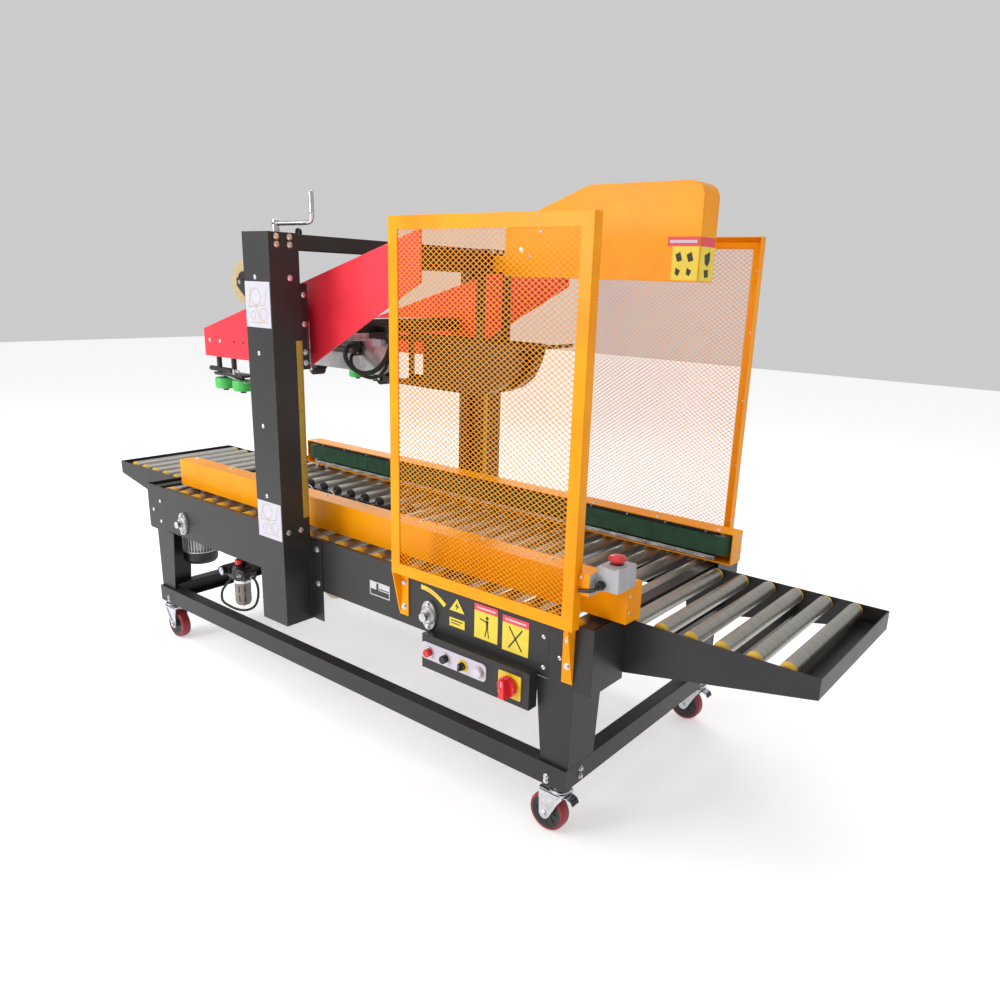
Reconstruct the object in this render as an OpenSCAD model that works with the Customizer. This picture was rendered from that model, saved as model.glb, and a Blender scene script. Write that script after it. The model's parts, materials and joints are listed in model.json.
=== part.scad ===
// Carton sealing machine: roller bed, side belt drives, tape head on two columns.
// +X points to the infeed end, +Y to the far side, +Z up, origin on the floor.

/* [Bed] */
// Half length of the main bed, to the end plates
bed_hx = 945; // [940:1:950]
// Half width over the side panels
bed_hy = 375; // [370:1:375]
// Height of the side panels' top edge
bed_z = 558; // [556:1:560]
// Lower edge of the side panels
panel_z0 = 404; // [400:1:410]
// Sheet thickness of panels, legs and table rails
sheet = 3; // [2.5:0.5:4]
// Distance between conveyor rollers
pitch = 75; // [75:1:75]
// Conveyor roller radius
roller_r = 19; // [18:0.5:19]

/* [Tables] */
// Half length of the machine, to the table end plates
tip_x = 1395; // [1390:1:1400]
// Half width over the table rails
table_hy = 241; // [240:1:242]
// Depth of a table rail at its tip
tip_d = 48; // [44:1:52]

/* [Columns and head] */
// Top of the two columns
col_top = 1382; // [1380:1:1386]
// Lower end of the two columns
col_bot = 308; // [300:1:320]
// Half spacing of the head's side plates, outer faces
plate_hy = 312; // [310:1:314]
// Thickness of the head's side plates
plate_t = 6; // [4:1:6]

/* [Guards] */
// Width of the guard frame's bars
guard_w = 30; // [26:1:32]
// Top of the guard frames
guard_top = 1416; // [1400:1:1420]

/* [Castors] */
// Castor wheel radius
wheel_r = 50; // [50:1:50]
// Castor tread width
wheel_w = 32; // [28:1:34]

/* [Hidden] */
$fn = 48;
clr = 0.08;

charcoal = [0.29, 0.285, 0.29];
orange = [1, 0.62, 0.02];
red = [0.95, 0.13, 0.18];
steel = [0.6, 0.6, 0.6];
dark = [0.1, 0.1, 0.1];

// box between two corners
module bx(x0, x1, y0, y1, z0, z1)
  translate([x0, y0, z0]) cube([x1 - x0, y1 - y0, z1 - z0]);
// plate cut to an X-Z outline, between two Y positions
module xz(pts, y0, y1)
  translate([0, y1, 0]) rotate([90, 0, 0]) linear_extrude(y1 - y0) polygon(pts);
// cylinder along Y
module cy(x, z, y0, y1, r)
  translate([x, y1, z]) rotate([90, 0, 0]) cylinder(r = r, h = y1 - y0);
// cylinder along X
module cx(x0, x1, y, z, r)
  translate([x0, y, z]) rotate([0, 90, 0]) cylinder(r = r, h = x1 - x0);
// cylinder along Z
module cz(x, y, z0, z1, r)
  translate([x, y, z0]) cylinder(r = r, h = z1 - z0);
// both sides of the machine
module sides() { children(); mirror([0, 1, 0]) children(); }
module ends() { children(); mirror([1, 0, 0]) children(); }

inner = bed_hy - sheet;
seam = 826;

module side_panels() color(charcoal) sides() {
  difference() {
    union() {
      bx(-seam, seam, -bed_hy, -inner, panel_z0, bed_z);
      bx(-seam, seam, -inner, -362, bed_z - sheet, bed_z);
      bx(-seam, seam, -inner, -350, panel_z0, panel_z0 + sheet);
    }
    for (x = [-717, 447]) cy(x, 455, -bed_hy - 1, -inner + 1, 14);
  }
}

module legs() color(charcoal) sides() ends() {
  xz([[seam, bed_z], [bed_hx, bed_z], [bed_hx, 402], [899, 398], [896, 190],
      [815, 190], [793, 402], [seam, 402]], -bed_hy, -inner);
  // side flange of the angle section
  translate([893, 0, 0]) rotate([90, 0, 90]) linear_extrude(3)
    polygon([[-inner, 190], [-267, 190], [-250, 396], [-inner, 396]]);
  // end plate beside the table, and the step that joins it to the flange
  bx(bed_hx - sheet, bed_hx, -inner, -table_hy, 402, bed_z);
  bx(893, bed_hx, -inner, -table_hy, 396, 402);
}

module base_rails() color(charcoal) {
  sides() difference() {
    bx(-896, 896, -385, -345, 134, 190);
    bx(-893, 893, -382, -340, 137, 187);
  }
  ends() difference() {
    bx(856, 896, -345, 345, 134, 190);
    bx(850, 893, -342, 342, 137, 187);
  }
  ends() sides() bx(822, 893, -382, -345, 134, 137);
}

module columns() color(charcoal) sides() {
  difference() {
    union() {
      bx(-145, -32, -467, -375, col_bot, col_top);
      bx(-198, 20, -379, -375, 312, 552);
    }
    bx(-142, -35, -464, -378, 620, col_top - 6);
    bx(-142, -35, -464, -378, col_bot - 1, 600);
    // slot for the head's carriage
    bx(-101, -75, -380, -374, 634, col_top - 12);
    // bores of the lift screw
    cz(-88, -402, 598, 622, 10 + clr);
    cz(-88, -402, col_top - 8, col_top + 1, 10 + clr);
  }
}

module top_beam() color(charcoal) {
  difference() {
    bx(-140, -37, -375, 375, 1342, 1380);
    bx(-137, -40, -372, 372, 1341, 1377);
  }
  // lifting eye
  difference() {
    cy(-60, 1387, -356, -348, 10);
    cy(-60, 1387, -357, -347, 5);
  }
}

module bed_crossbars() color(charcoal) {
  for (x = [-690, -45, 600]) bx(x, x + 25, -inner, inner, 410, 440);
  // end bars under the first table rollers
  ends() bx(896, 929, -inner, inner, 500, 550);
  // inner rails beside the lower tape cartridge
  sides() bx(-665, -45, -70, -64, 410, 530);
  bx(-665, -651, -64, 64, 425, 500);
  bx(-59, -45, -64, 64, 425, 500);
}

module table_frame() color(charcoal) {
  sides() {
    xz([[932, 547], [tip_x, 547], [tip_x, 547 - tip_d], [932, 408]], -table_hy, -table_hy + sheet);
  }
  bx(tip_x - sheet, tip_x, -table_hy + sheet, table_hy - sheet, 547 - tip_d, 547);
  bx(1320, tip_x - sheet, -table_hy + sheet, table_hy - sheet, 547 - tip_d, 550 - tip_d);
  bx(1150, 1180, -table_hy + sheet, table_hy - sheet, 470, 490);
  bx(945, 975, -table_hy + sheet, table_hy - sheet, 430, 450);
}
module infeed_table() table_frame();
module outfeed_table() mirror([1, 0, 0]) table_frame();

module roller(x, a, b) {
  cy(x, 533, a + 10, b - 10, roller_r);
  cy(x, 533, a, b, 6);
}
module table_rollers() color(steel)
  for (i = [0:5]) roller(950 + 74 * i, -table_hy + sheet, table_hy - sheet);
module infeed_rollers() table_rollers();
module outfeed_rollers() mirror([1, 0, 0]) table_rollers();

module bed_rollers() color(steel) for (i = [0:23]) {
  x = 875 - pitch * i;
  if (x < -60 && x > -650) {
    roller(x, -inner, -70);
    roller(x, 70, inner);
  } else roller(x, -inner, inner);
}

module gusset(x, z0) hull() {
  bx(x, x + 4, -405, -379, 549, 553);
  bx(x, x + 4, -380, -379, z0, 553);
}
module guard() color(orange) {
  difference() {
    bx(340, 907, -407, -379, 553, guard_top);
    bx(343, 904, -404, -370, 556, guard_top - 3);
    bx(340 + guard_w, 907 - guard_w, -410, -370, 553 + guard_w, guard_top - guard_w);
  }
  // expanded metal behind the front flange
  bx(362, 885, -404, -402, 575, guard_top - 22);
  // brackets to the side panel
  bx(340, 372, -379, -375, 430, 600);
  gusset(340, 440);
  bx(866, 896, -379, -375, 412, 600);
  gusset(892, 420);
}
module near_guard() guard();
module far_guard() mirror([0, 1, 0]) guard();

module control_box() color(charcoal) difference() {
  bx(450, 797, -406, -375, 322, 415);
  bx(453, 794, -403, -376, 325, 412);
  for (x = [479, 535, 594]) cy(x, 372, -408, -402, 10 + clr);
  cy(740, 369, -408, -402, 8 + clr);
}

module control_plates() color([0.86, 0.82, 0.86]) {
  difference() {
    union() { bx(474, 644, -409, -406, 353, 395); for (x = [474, 644]) cy(x, 374, -409, -406, 21); }
    for (x = [479, 535, 594]) cy(x, 372, -410, -405, 10 + clr);
  }
  difference() {
    bx(706, 774, -409, -406, 338, 400);
    cy(740, 369, -410, -405, 8 + clr);
  }
  // signal lamp
  cy(646, 372, -420, -409, 14);
}

module push(x) { cy(x, 372, -418, -395, 10); cy(x, 372, -424, -416, 14); }
module stop_button() color(red) push(479);
module start_button() color(dark) push(535);
module selector_switch() color([0.9, 0.75, 0.1]) {
  cy(594, 372, -418, -395, 10);
  cy(594, 372, -422, -416, 15);
  bx(590, 598, -428, -420, 361, 383);
}
module isolator_knob() color(red) {
  cy(740, 369, -420, -390, 8);
  cy(740, 369, -424, -412, 26);
  bx(733, 747, -440, -422, 345, 393);
}

module estop_box() color([0.62, 0.62, 0.64]) {
  difference() {
    bx(935, 990, -365, -293, 652, 704);
    bx(938, 987, -362, -296, 655, 701);
    cz(962, -329, 700, 706, 9 + clr);
  }
  // bracket to the guard
  bx(907, 935, -392, -388, 640, 690);
  bx(931, 935, -388, -326, 640, 690);
  cy(950, 664, -377, -365, 8);
}
module estop_button() color(red) {
  cz(962, -329, 690, 716, 9);
  cz(962, -329, 714, 726, 20);
}

module frl_unit() color([0.2, 0.2, 0.2]) {
  bx(-490, -420, -328, -320, 362, 404);
  bx(-490, -420, -372, -320, 401, 404);
  difference() {
    bx(-520, -394, -368, -318, 318, 362);
    cz(-455, -343, 340, 363, 9 + clr);
  }
  cz(-440, -343, 230, 318, 26);
  // gauge
  cy(-503, 339, -381, -368, 16);
}
module regulator_knob() color(red) {
  cz(-455, -343, 345, 366, 9);
  cz(-455, -343, 364, 382, 13);
}

// hose loop: control points of its centre line
loop = [[-508, -343, 318], [-512, -343, 296], [-540, -343, 270], [-566, -343, 240], [-566, -344, 208],
        [-530, -345, 200], [-475, -346, 201], [-420, -346, 214], [-376, -345, 240], [-356, -344, 276],
        [-356, -343, 312], [-372, -343, 333], [-394, -343, 336]];
function crv(i, t) = let (n = len(loop) - 1, a = loop[max(i - 1, 0)], b = loop[i],
    c = loop[min(i + 1, n)], d = loop[min(i + 2, n)])
  0.5 * (2 * b + t * (c - a) + t * t * (2 * a - 5 * b + 4 * c - d) + t * t * t * (3 * b - a - 3 * c + d));
hose = concat([for (i = [0:len(loop) - 2]) for (t = [0, 0.5]) crv(i, t)], [loop[len(loop) - 1]]);
module air_hose() color(dark) {
  n = len(hose); k = 8; r = 4;
  polyhedron(
    points = [for (i = [0:n - 1]) let (a = hose[max(i - 1, 0)], b = hose[min(i + 1, n - 1)],
        t = i == 0 ? [0, 0, -1] : i == n - 1 ? [-1, 0, 0] : (b - a) / norm(b - a),
        u = [0, 1, 0] - t * t[1], v = cross(t, u / norm(u)))
      for (j = [0:k - 1]) hose[i] + r * cos(360 * j / k) * u / norm(u) + r * sin(360 * j / k) * v],
    faces = concat([[for (j = [0:k - 1]) j]], [[for (j = [0:k - 1]) (n - 1) * k + k - 1 - j]],
      [for (i = [0:n - 2]) for (j = [0:k - 1])
        [i * k + j, (i + 1) * k + j, (i + 1) * k + (j + 1) % k, i * k + (j + 1) % k]]));
}

// two-bolt oval bearings that carry the width shafts
module shaft_bearings() color([0.75, 0.75, 0.75]) sides() for (x = [-717, 447])
  difference() {
    union() {
      cy(x, 455, -389, -375, 24);
      xz([[x - 16, 455 - 24], [x - 8, 455 - 39], [x + 8, 455 - 39], [x + 16, 455 - 24],
          [x + 16, 455 + 24], [x + 8, 455 + 39], [x - 8, 455 + 39], [x - 16, 455 + 24]], -383, -375);
    }
    cy(x, 455, -400, -360, 12 + clr);
  }

module frame_bolts() color([0.8, 0.8, 0.8]) {
  sides() for (p = [[-864, 506], [-912, 468], [-867, 433], [810, 504], [812, 428], [857, 466],
                    [358, 522], [358, 455], [881, 519], [881, 455]]) {
    guard_side = p[0] == 358 || p[0] == 881;
    cy(p[0], p[1], guard_side ? -384 : -380, guard_side ? -379 : -375, 6.5);
  }
  sides() for (x = [-5, -180]) for (z = [430, 530]) cy(x, z, -385, -379, 8);
  sides() for (z = [684, 881, 1076, 1270]) cy(-97, z, -470, -467, 7);
  sides() for (p = [[-443, 1371], [-443, 1352], [-403, 1371], [-403, 1352], [-406, 1270], [-447, 586], [-406, 586]])
    cx(-32, -27, p[0], p[1], 7);
}

// lower tape cartridge, seen from above between the split rollers
module bottom_cartridge() color([0.75, 0.75, 0.76]) {
  sides() difference() {
    xz([[-600, 500], [-110, 500], [-110, 420], [-330, 380], [-350, 230], [-420, 230], [-440, 380], [-600, 420]], -40, -37);
    for (x = [-200, -510]) cy(x, 470, -50, -30, 6 + clr);
    cy(-385, 245, -50, -30, 8 + clr);
  }
  for (p = [[-130, 440], [-355, 440], [-580, 440]]) cy(p[0], p[1], -37, 37, 8);
  // hangers onto the inner rails
  for (x = [-595, -125]) sides() bx(x - 12, x + 12, -64, -40, 470, 490);
}

// swinging arm: two cheeks, pivot pin and roller
module swing(px, pz, rx, rz) {
  a = atan2(rz - pz, rx - px); l = norm([rx - px, rz - pz]);
  cy(px, pz, -40, 40, 6);
  sides() {
    translate([px, -26, pz]) rotate([0, -a, 0]) bx(0, l, 0, 4, -6.5, 6.5);
    cy(px, pz, -27, -21, 11);
    cy(rx, rz, -27, -21, 9);
  }
  cy(rx, rz, -24, 24, 5);
  cy(rx, rz, -20, 20, 19);
}
module bottom_apply_arm() color(steel) swing(-200, 470, -120, 548);
module bottom_wipe_arm() color(steel) swing(-510, 470, -590, 548);

module tape(x, z) {
  cy(x, z, -25, 25, 72);
  cy(x, z, -30, 30, 12);
  cy(x, z, -44, 44, 8);
}
module bottom_tape_roll() color([0.76, 0.62, 0.4]) tape(-385, 245);
module top_tape_roll() color([0.76, 0.62, 0.4]) tape(-812, 1248);

// castors: swivel axis at |X| 866, wheel trails toward the middle
cxx = 866; cyy = 357; trail = 28;
module fork() color([0.75, 0.76, 0.78]) translate([cxx, -cyy, 0]) {
  cz(0, 0, 118, 133.7, 22);
  difference() {
    union() {
      bx(-42, 20, -24, 24, 112, 118);
      for (s = [-24, 21]) translate([0, s + 3, 0]) rotate([90, 0, 0]) linear_extrude(3)
        polygon([[-44, 118], [20, 118], [20, 104], [-12, 40], [-44, 40]]);
    }
    cy(-trail, wheel_r, -30, 30, 6 + clr);
  }
  // brake pedal
  bx(16, 44, -14, 14, 100, 104);
  bx(16, 20, -14, 14, 100, 112);
}
module wheel() color([0.45, 0.07, 0.1]) translate([cxx, -cyy, 0]) {
  cy(-trail, wheel_r, -wheel_w / 2, wheel_w / 2, wheel_r);
  cy(-trail, wheel_r, -20, 20, 12);
  cy(-trail, wheel_r, -28, 28, 6);
}
module infeed_near_fork() fork();
module infeed_far_fork() mirror([0, 1, 0]) fork();
module outfeed_near_fork() mirror([1, 0, 0]) fork();
module outfeed_far_fork() mirror([1, 0, 0]) mirror([0, 1, 0]) fork();
module infeed_near_wheel() wheel();
module infeed_far_wheel() mirror([0, 1, 0]) wheel();
module outfeed_near_wheel() mirror([1, 0, 0]) wheel();
module outfeed_far_wheel() mirror([1, 0, 0]) mirror([0, 1, 0]) wheel();

// tape head
module head_side_plates() color(red) sides() {
  xz([[-612, 1024], [-97, 1027], [350, 1272], [350, 1396], [-612, 1108]], -plate_hy, -plate_hy + plate_t);
}
module head_carriage() color(dark) {
  sides() {
    // slider on the column's inner face, its nut block and the neck through the slot
    xz([[-138, 1032], [-42, 1032], [-42, 1258], [-138, 1230]], -371, -346);
    bx(-138, -90, -346, -plate_hy, 1060, 1200);
    bx(-100, -76, -383, -371, 1050, 1220);
    difference() {
      bx(-118, -58, -450, -383, 1060, 1210);
      cz(-88, -402, 1059, 1211, 10 + clr);
    }
  }
  // cross bars between the side plates
  bx(-138, -90, -plate_hy + plate_t, plate_hy - plate_t, 1120, 1160);
  bx(-590, -560, -plate_hy + plate_t, plate_hy - plate_t, 1040, 1080);
  bx(300, 340, -plate_hy + plate_t, plate_hy - plate_t, 1300, 1350);
  // mast bars from the cross bars to the cartridge
  sides() {
    bx(-560, -138, -46, -40, 1124, 1150);
    bx(-566, -560, -46, -40, 1060, 1150);
  }
  // tape roll bracket
  sides() difference() {
    xz([[-590, 1044], [-590, 1078], [-802, 1262], [-826, 1262], [-826, 1236]], -44, -40);
    cy(-812, 1248, -50, -30, 8 + clr);
  }
  // press wheel arms
  sides() {
    bx(-590, -440, -300, -250, 966, 974);
    for (x = [-560, -480]) cz(x, -306 + 9, 974, 1026, 8);
    for (x = [-567, -472]) cz(x, -275, 922, 966, 6);
    bx(-570, -470, -plate_hy + plate_t, -288, 1026, 1036);
  }
  sides() for (x = [-567, -472]) cz(x, -275, 916, 922, 9);
}
module press(x, y) color([0.3, 0.8, 0.35]) difference() {
  cz(x, y, 923, 956, 32);
  cz(x, y, 920, 960, 6 + clr);
}
module near_front_press_wheel() press(-472, -275);
module near_rear_press_wheel() press(-567 , -275);
module far_front_press_wheel() press(-472, 275);
module far_rear_press_wheel() press(-567, 275);

shoe_side = [[110, 976], [301, 976], [342, 981], [386, 998], [424, 1028], [444, 1064], [457, 1100], [457, 1122],
             [110, 1122]];
module folding_shoe() color([0.16, 0.15, 0.15]) {
  sides() xz(shoe_side, -62, -58);
  // open links back to the cartridge
  sides() { bx(-60, 111, -62, -58, 978, 994); bx(-60, 111, -62, -58, 1106, 1122); }
  difference() {
    xz([[-60, 978], [301, 976], [342, 981], [386, 998], [424, 1028], [444, 1064], [454, 1092],
        [451, 1092], [441, 1065], [421, 1030], [384, 1001], [341, 984], [301, 979], [-60, 981]], -62, 62);
    bx(100, 480, -22, 22, 970, 1110);
  }
  // bow in front of the nose
  sides() xz([[430, 1106], [457, 1106], [548, 1119], [548, 1128], [455, 1117], [430, 1117]], -62, -58);
  // open in the middle for the kicker arm
  sides() bx(541, 548, -62, -16, 1119, 1128);
  // hangers to the cross bars
  sides() {
    bx(-60, -50, -62, -46, 979, 1140);
    bx(-90, -50, -62, -46, 1124, 1140);
    bx(306, 334, -58, -52, 1090, 1300);
  }
}

house = [[385, 1294], [943, 1294], [943, 1478], [937, 1494], [925, 1504], [909, 1508], [640, 1508],
         [500, 1458], [385, 1410]];
module kicker_housing() color(orange) {
  difference() {
    xz(house, -38, 38);
    xz([[388, 1290], [940, 1290], [940, 1477], [923, 1500], [909, 1504], [641, 1504], [501, 1454], [388, 1407]], -35, 35);
    cy(440, 1360, -40, 40, 8 + clr);
  }
  // tongue to the front cross bar
  bx(340, 385, -30, 30, 1305, 1345);
}
module kicker_arm() color([0.55, 0.55, 0.56]) {
  cy(440, 1360, -38, 38, 8);
  cy(440, 1360, -14, 14, 18);
  xz([[440, 1344], [800, 1316], [868, 1330], [868, 1342], [798, 1330], [440, 1376]], -8, 8);
  bx(780, 800, -30, 30, 1318, 1330);
}

module top_cartridge() color([0.72, 0.72, 0.74]) {
  sides() difference() {
    xz([[-450, 1030], [-420, 996], [-160, 996], [-120, 1030], [-120, 1110], [-450, 1110]], -40, -37);
    for (x = [-190, -380]) cy(x, 1040, -50, -30, 6 + clr);
  }
  for (p = [[-140, 1090], [-285, 1060], [-430, 1090]]) cy(p[0], p[1], -37, 37, 7);
  sides() for (x = [-420, -160]) bx(x - 10, x + 10, -46, -40, 1100, 1124);
}
module top_apply_arm() color(dark) swing(-190, 1040, -120, 978);
module top_wipe_arm() color(dark) swing(-380, 1040, -450, 978);

module height_crank() color([0.78, 0.79, 0.8]) {
  cz(-88, -402, 1393, 1414, 10);
  cx(-88, 62, -402, 1405, 6);
  cz(62, -402, 1399, 1405, 6);
  cz(62, -402, 1405, 1480, 7);
}
module screw(y) color([0.6, 0.6, 0.62]) cz(-88, y, 600, 1393, 10);
module near_lift_screw() screw(-402);
module far_lift_screw() cz(-88, 402, 600, 1382, 10);

// side belt drives
module belt_cover() color(orange) {
  difference() {
    bx(-839, 979, -303, -241, 560, 649);
    bx(-836, 976, -300, -230, 563, 646);
    cz(-812.5, -268, 555, 570, 12 + clr);
    bx(-745.5, -724.5, -288.5, -247.5, 555, 570);
    bx(449.5, 470.5, -288.5, -247.5, 555, 570);
  }
}
module near_belt_cover() belt_cover();
module far_belt_cover() mirror([0, 1, 0]) belt_cover();
module belt_drive() color([0.16, 0.32, 0.2]) {
  // flat belt round two pulleys
  difference() {
    union() { cz(-800, -266, 583, 638, 32); cz(940, -266, 583, 638, 32); bx(-800, 940, -298, -234, 583, 638); }
    union() { cz(-800, -266, 582, 639, 28); cz(940, -266, 582, 639, 28); bx(-800, 940, -294, -238, 582, 639); }
  }
  cz(-800, -266, 583, 638, 28);
  cz(940, -266, 583, 638, 28);
}
module near_belt_drive() {
  belt_drive();
  color([0.7, 0.7, 0.7]) {
    bx(-776, 916, -288, -244, 563, 634);
    bx(-806, -765, -280, -252, 563, 582);
    cz(-812.5, -268, 500, 563, 12);
    cz(-812.5, -268, 275, 500, 60);
    // nut blocks on the width shafts
    difference() {
      union() { bx(-735, -699, -290, -246, 437, 473); bx(-745, -725, -288, -248, 455, 563); }
      cy(-717, 455, -300, -200, 12 + clr);
    }
    difference() {
      union() { bx(429, 470, -290, -246, 437, 473); bx(450, 470, -288, -248, 455, 563); }
      cy(447, 455, -300, -200, 12 + clr);
    }
  }
}
module far_belt_drive() mirror([0, 1, 0]) near_belt_drive();
module rear_width_shaft() color(steel) cy(-717, 455, -404, 404, 12);
module front_width_shaft() color(steel) cy(447, 455, -404, 404, 12);

side_panels();
legs();
base_rails();
columns();
top_beam();
bed_crossbars();
infeed_table();
outfeed_table();
infeed_rollers();
outfeed_rollers();
bed_rollers();
near_guard();
far_guard();
control_box();
control_plates();
estop_box();
frl_unit();
air_hose();
shaft_bearings();
frame_bolts();
bottom_cartridge();
infeed_near_fork();
infeed_far_fork();
outfeed_near_fork();
outfeed_far_fork();
infeed_near_wheel();
infeed_far_wheel();
outfeed_near_wheel();
outfeed_far_wheel();
stop_button();
start_button();
selector_switch();
estop_button();
isolator_knob();
regulator_knob();
head_side_plates();
head_carriage();
folding_shoe();
kicker_housing();
top_cartridge();
kicker_arm();
height_crank();
near_lift_screw();
far_lift_screw();
top_tape_roll();
bottom_tape_roll();
top_apply_arm();
top_wipe_arm();
bottom_apply_arm();
bottom_wipe_arm();
near_front_press_wheel();
near_rear_press_wheel();
far_front_press_wheel();
far_rear_press_wheel();
near_belt_cover();
far_belt_cover();
near_belt_drive();
far_belt_drive();
rear_width_shaft();
front_width_shaft();
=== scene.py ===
import bpy, bmesh, math, json
from math import sin, cos, pi, radians
from mathutils import Vector, Matrix


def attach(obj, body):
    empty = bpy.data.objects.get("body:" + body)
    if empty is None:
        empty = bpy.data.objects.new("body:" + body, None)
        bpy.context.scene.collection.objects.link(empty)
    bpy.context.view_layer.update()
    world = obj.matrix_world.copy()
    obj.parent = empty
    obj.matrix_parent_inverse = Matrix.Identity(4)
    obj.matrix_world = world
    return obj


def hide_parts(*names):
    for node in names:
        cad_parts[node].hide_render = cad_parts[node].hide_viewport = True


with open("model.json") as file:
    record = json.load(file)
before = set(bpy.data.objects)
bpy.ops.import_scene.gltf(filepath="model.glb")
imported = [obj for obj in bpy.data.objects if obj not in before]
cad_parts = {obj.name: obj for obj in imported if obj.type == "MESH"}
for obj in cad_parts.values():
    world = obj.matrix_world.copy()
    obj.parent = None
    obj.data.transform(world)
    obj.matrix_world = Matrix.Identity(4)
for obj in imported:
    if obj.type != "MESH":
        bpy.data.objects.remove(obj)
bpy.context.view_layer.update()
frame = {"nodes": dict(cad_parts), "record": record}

# ------------------------------------------------------------------ camera
def make_camera():
    yaw, pitch, roll = radians(37.77), radians(16.50), radians(2.05)
    d = Vector((-sin(yaw) * cos(pitch), cos(yaw) * cos(pitch), -sin(pitch)))
    r0 = Vector((cos(yaw), sin(yaw), 0))
    u0 = r0.cross(d)
    r = cos(roll) * r0 + sin(roll) * u0
    u = -sin(roll) * r0 + cos(roll) * u0
    cam = bpy.data.objects.new("camera", bpy.data.cameras.new("camera"))
    bpy.context.scene.collection.objects.link(cam)
    m = Matrix((r, u, -d)).transposed().to_4x4()
    m.translation = Vector((1.8201, -1.7779, 1.2794))
    cam.matrix_world = m
    cam.data.sensor_width = 36.0
    cam.data.lens = 819.6 / 1000 * 36.0
    cam.data.shift_x = -0.0213
    cam.data.shift_y = 0.0256
    cam.data.clip_start = 0.05
    bpy.context.scene.camera = cam
    return cam
make_camera()

# --------------------------------------------------------------- materials
def _n(nt, kind, **kw):
    n = nt.nodes.new(kind)
    for k, v in kw.items():
        setattr(n, k, v)
    return n

def material(name, base, rough=0.4, metal=0.0, var=0.12, vscale=9.0, rvar=0.12, bump=0.05, bscale=900.0,
             stretch=(1, 1, 1), coat=0.0, second=None, spots=0.0, spec=0.5):
    m = bpy.data.materials.new(name)
    m.use_nodes = True
    nt = m.node_tree
    b = nt.nodes["Principled BSDF"]
    b.inputs["Metallic"].default_value = metal
    b.inputs["Coat Weight"].default_value = coat
    b.inputs["Coat Roughness"].default_value = 0.2
    tc = _n(nt, "ShaderNodeTexCoord")
    mp = _n(nt, "ShaderNodeMapping")
    mp.inputs["Scale"].default_value = stretch
    nt.links.new(tc.outputs["Object"], mp.inputs["Vector"])
    big = _n(nt, "ShaderNodeTexNoise")
    big.inputs["Scale"].default_value = vscale
    big.inputs["Detail"].default_value = 6
    nt.links.new(mp.outputs[0], big.inputs["Vector"])
    ramp = _n(nt, "ShaderNodeValToRGB")
    c0 = tuple(max(0.0, c * (1 - var)) for c in base) + (1,)
    c1 = tuple(min(1.0, c * (1 + var)) for c in (second or base)) + (1,)
    ramp.color_ramp.elements[0].position = 0.32
    ramp.color_ramp.elements[1].position = 0.68
    ramp.color_ramp.elements[0].color = c0
    ramp.color_ramp.elements[1].color = c1
    nt.links.new(big.outputs["Fac"], ramp.inputs["Fac"])
    col = ramp.outputs["Color"]
    fine = _n(nt, "ShaderNodeTexNoise")
    fine.inputs["Scale"].default_value = bscale
    fine.inputs["Detail"].default_value = 3
    nt.links.new(mp.outputs[0], fine.inputs["Vector"])
    if spots > 0:
        sp = _n(nt, "ShaderNodeTexNoise")
        sp.inputs["Scale"].default_value = vscale * 7
        sp.inputs["Detail"].default_value = 8
        sr = _n(nt, "ShaderNodeValToRGB")
        sr.color_ramp.elements[0].position = 0.62
        sr.color_ramp.elements[1].position = 0.74
        nt.links.new(tc.outputs["Object"], sp.inputs["Vector"])
        nt.links.new(sp.outputs["Fac"], sr.inputs["Fac"])
        mul = _n(nt, "ShaderNodeMath", operation="MULTIPLY")
        mul.inputs[1].default_value = spots
        nt.links.new(sr.outputs["Color"], mul.inputs[0])
        mix = _n(nt, "ShaderNodeMix", data_type="RGBA")
        nt.links.new(mul.outputs[0], mix.inputs["Factor"])
        nt.links.new(col, mix.inputs["A"])
        dirt = [c * 0.45 + 0.03 for c in base]
        mix.inputs["B"].default_value = (dirt[0], dirt[1], dirt[2], 1)
        col = mix.outputs["Result"]
    b.inputs["Specular IOR Level"].default_value = spec
    nt.links.new(col, b.inputs["Base Color"])
    mr = _n(nt, "ShaderNodeMapRange")
    mr.inputs["To Min"].default_value = max(0.03, rough - rvar)
    mr.inputs["To Max"].default_value = min(1.0, rough + rvar)
    add = _n(nt, "ShaderNodeMath", operation="ADD")
    nt.links.new(big.outputs["Fac"], add.inputs[0])
    nt.links.new(fine.outputs["Fac"], add.inputs[1])
    hal = _n(nt, "ShaderNodeMath", operation="MULTIPLY")
    hal.inputs[1].default_value = 0.5
    nt.links.new(add.outputs[0], hal.inputs[0])
    nt.links.new(hal.outputs[0], mr.inputs["Value"])
    nt.links.new(mr.outputs[0], b.inputs["Roughness"])
    if bump > 0:
        bp = _n(nt, "ShaderNodeBump")
        bp.inputs["Strength"].default_value = bump
        bp.inputs["Distance"].default_value = 0.001
        nt.links.new(fine.outputs["Fac"], bp.inputs["Height"])
        nt.links.new(bp.outputs["Normal"], b.inputs["Normal"])
    return m

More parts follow.
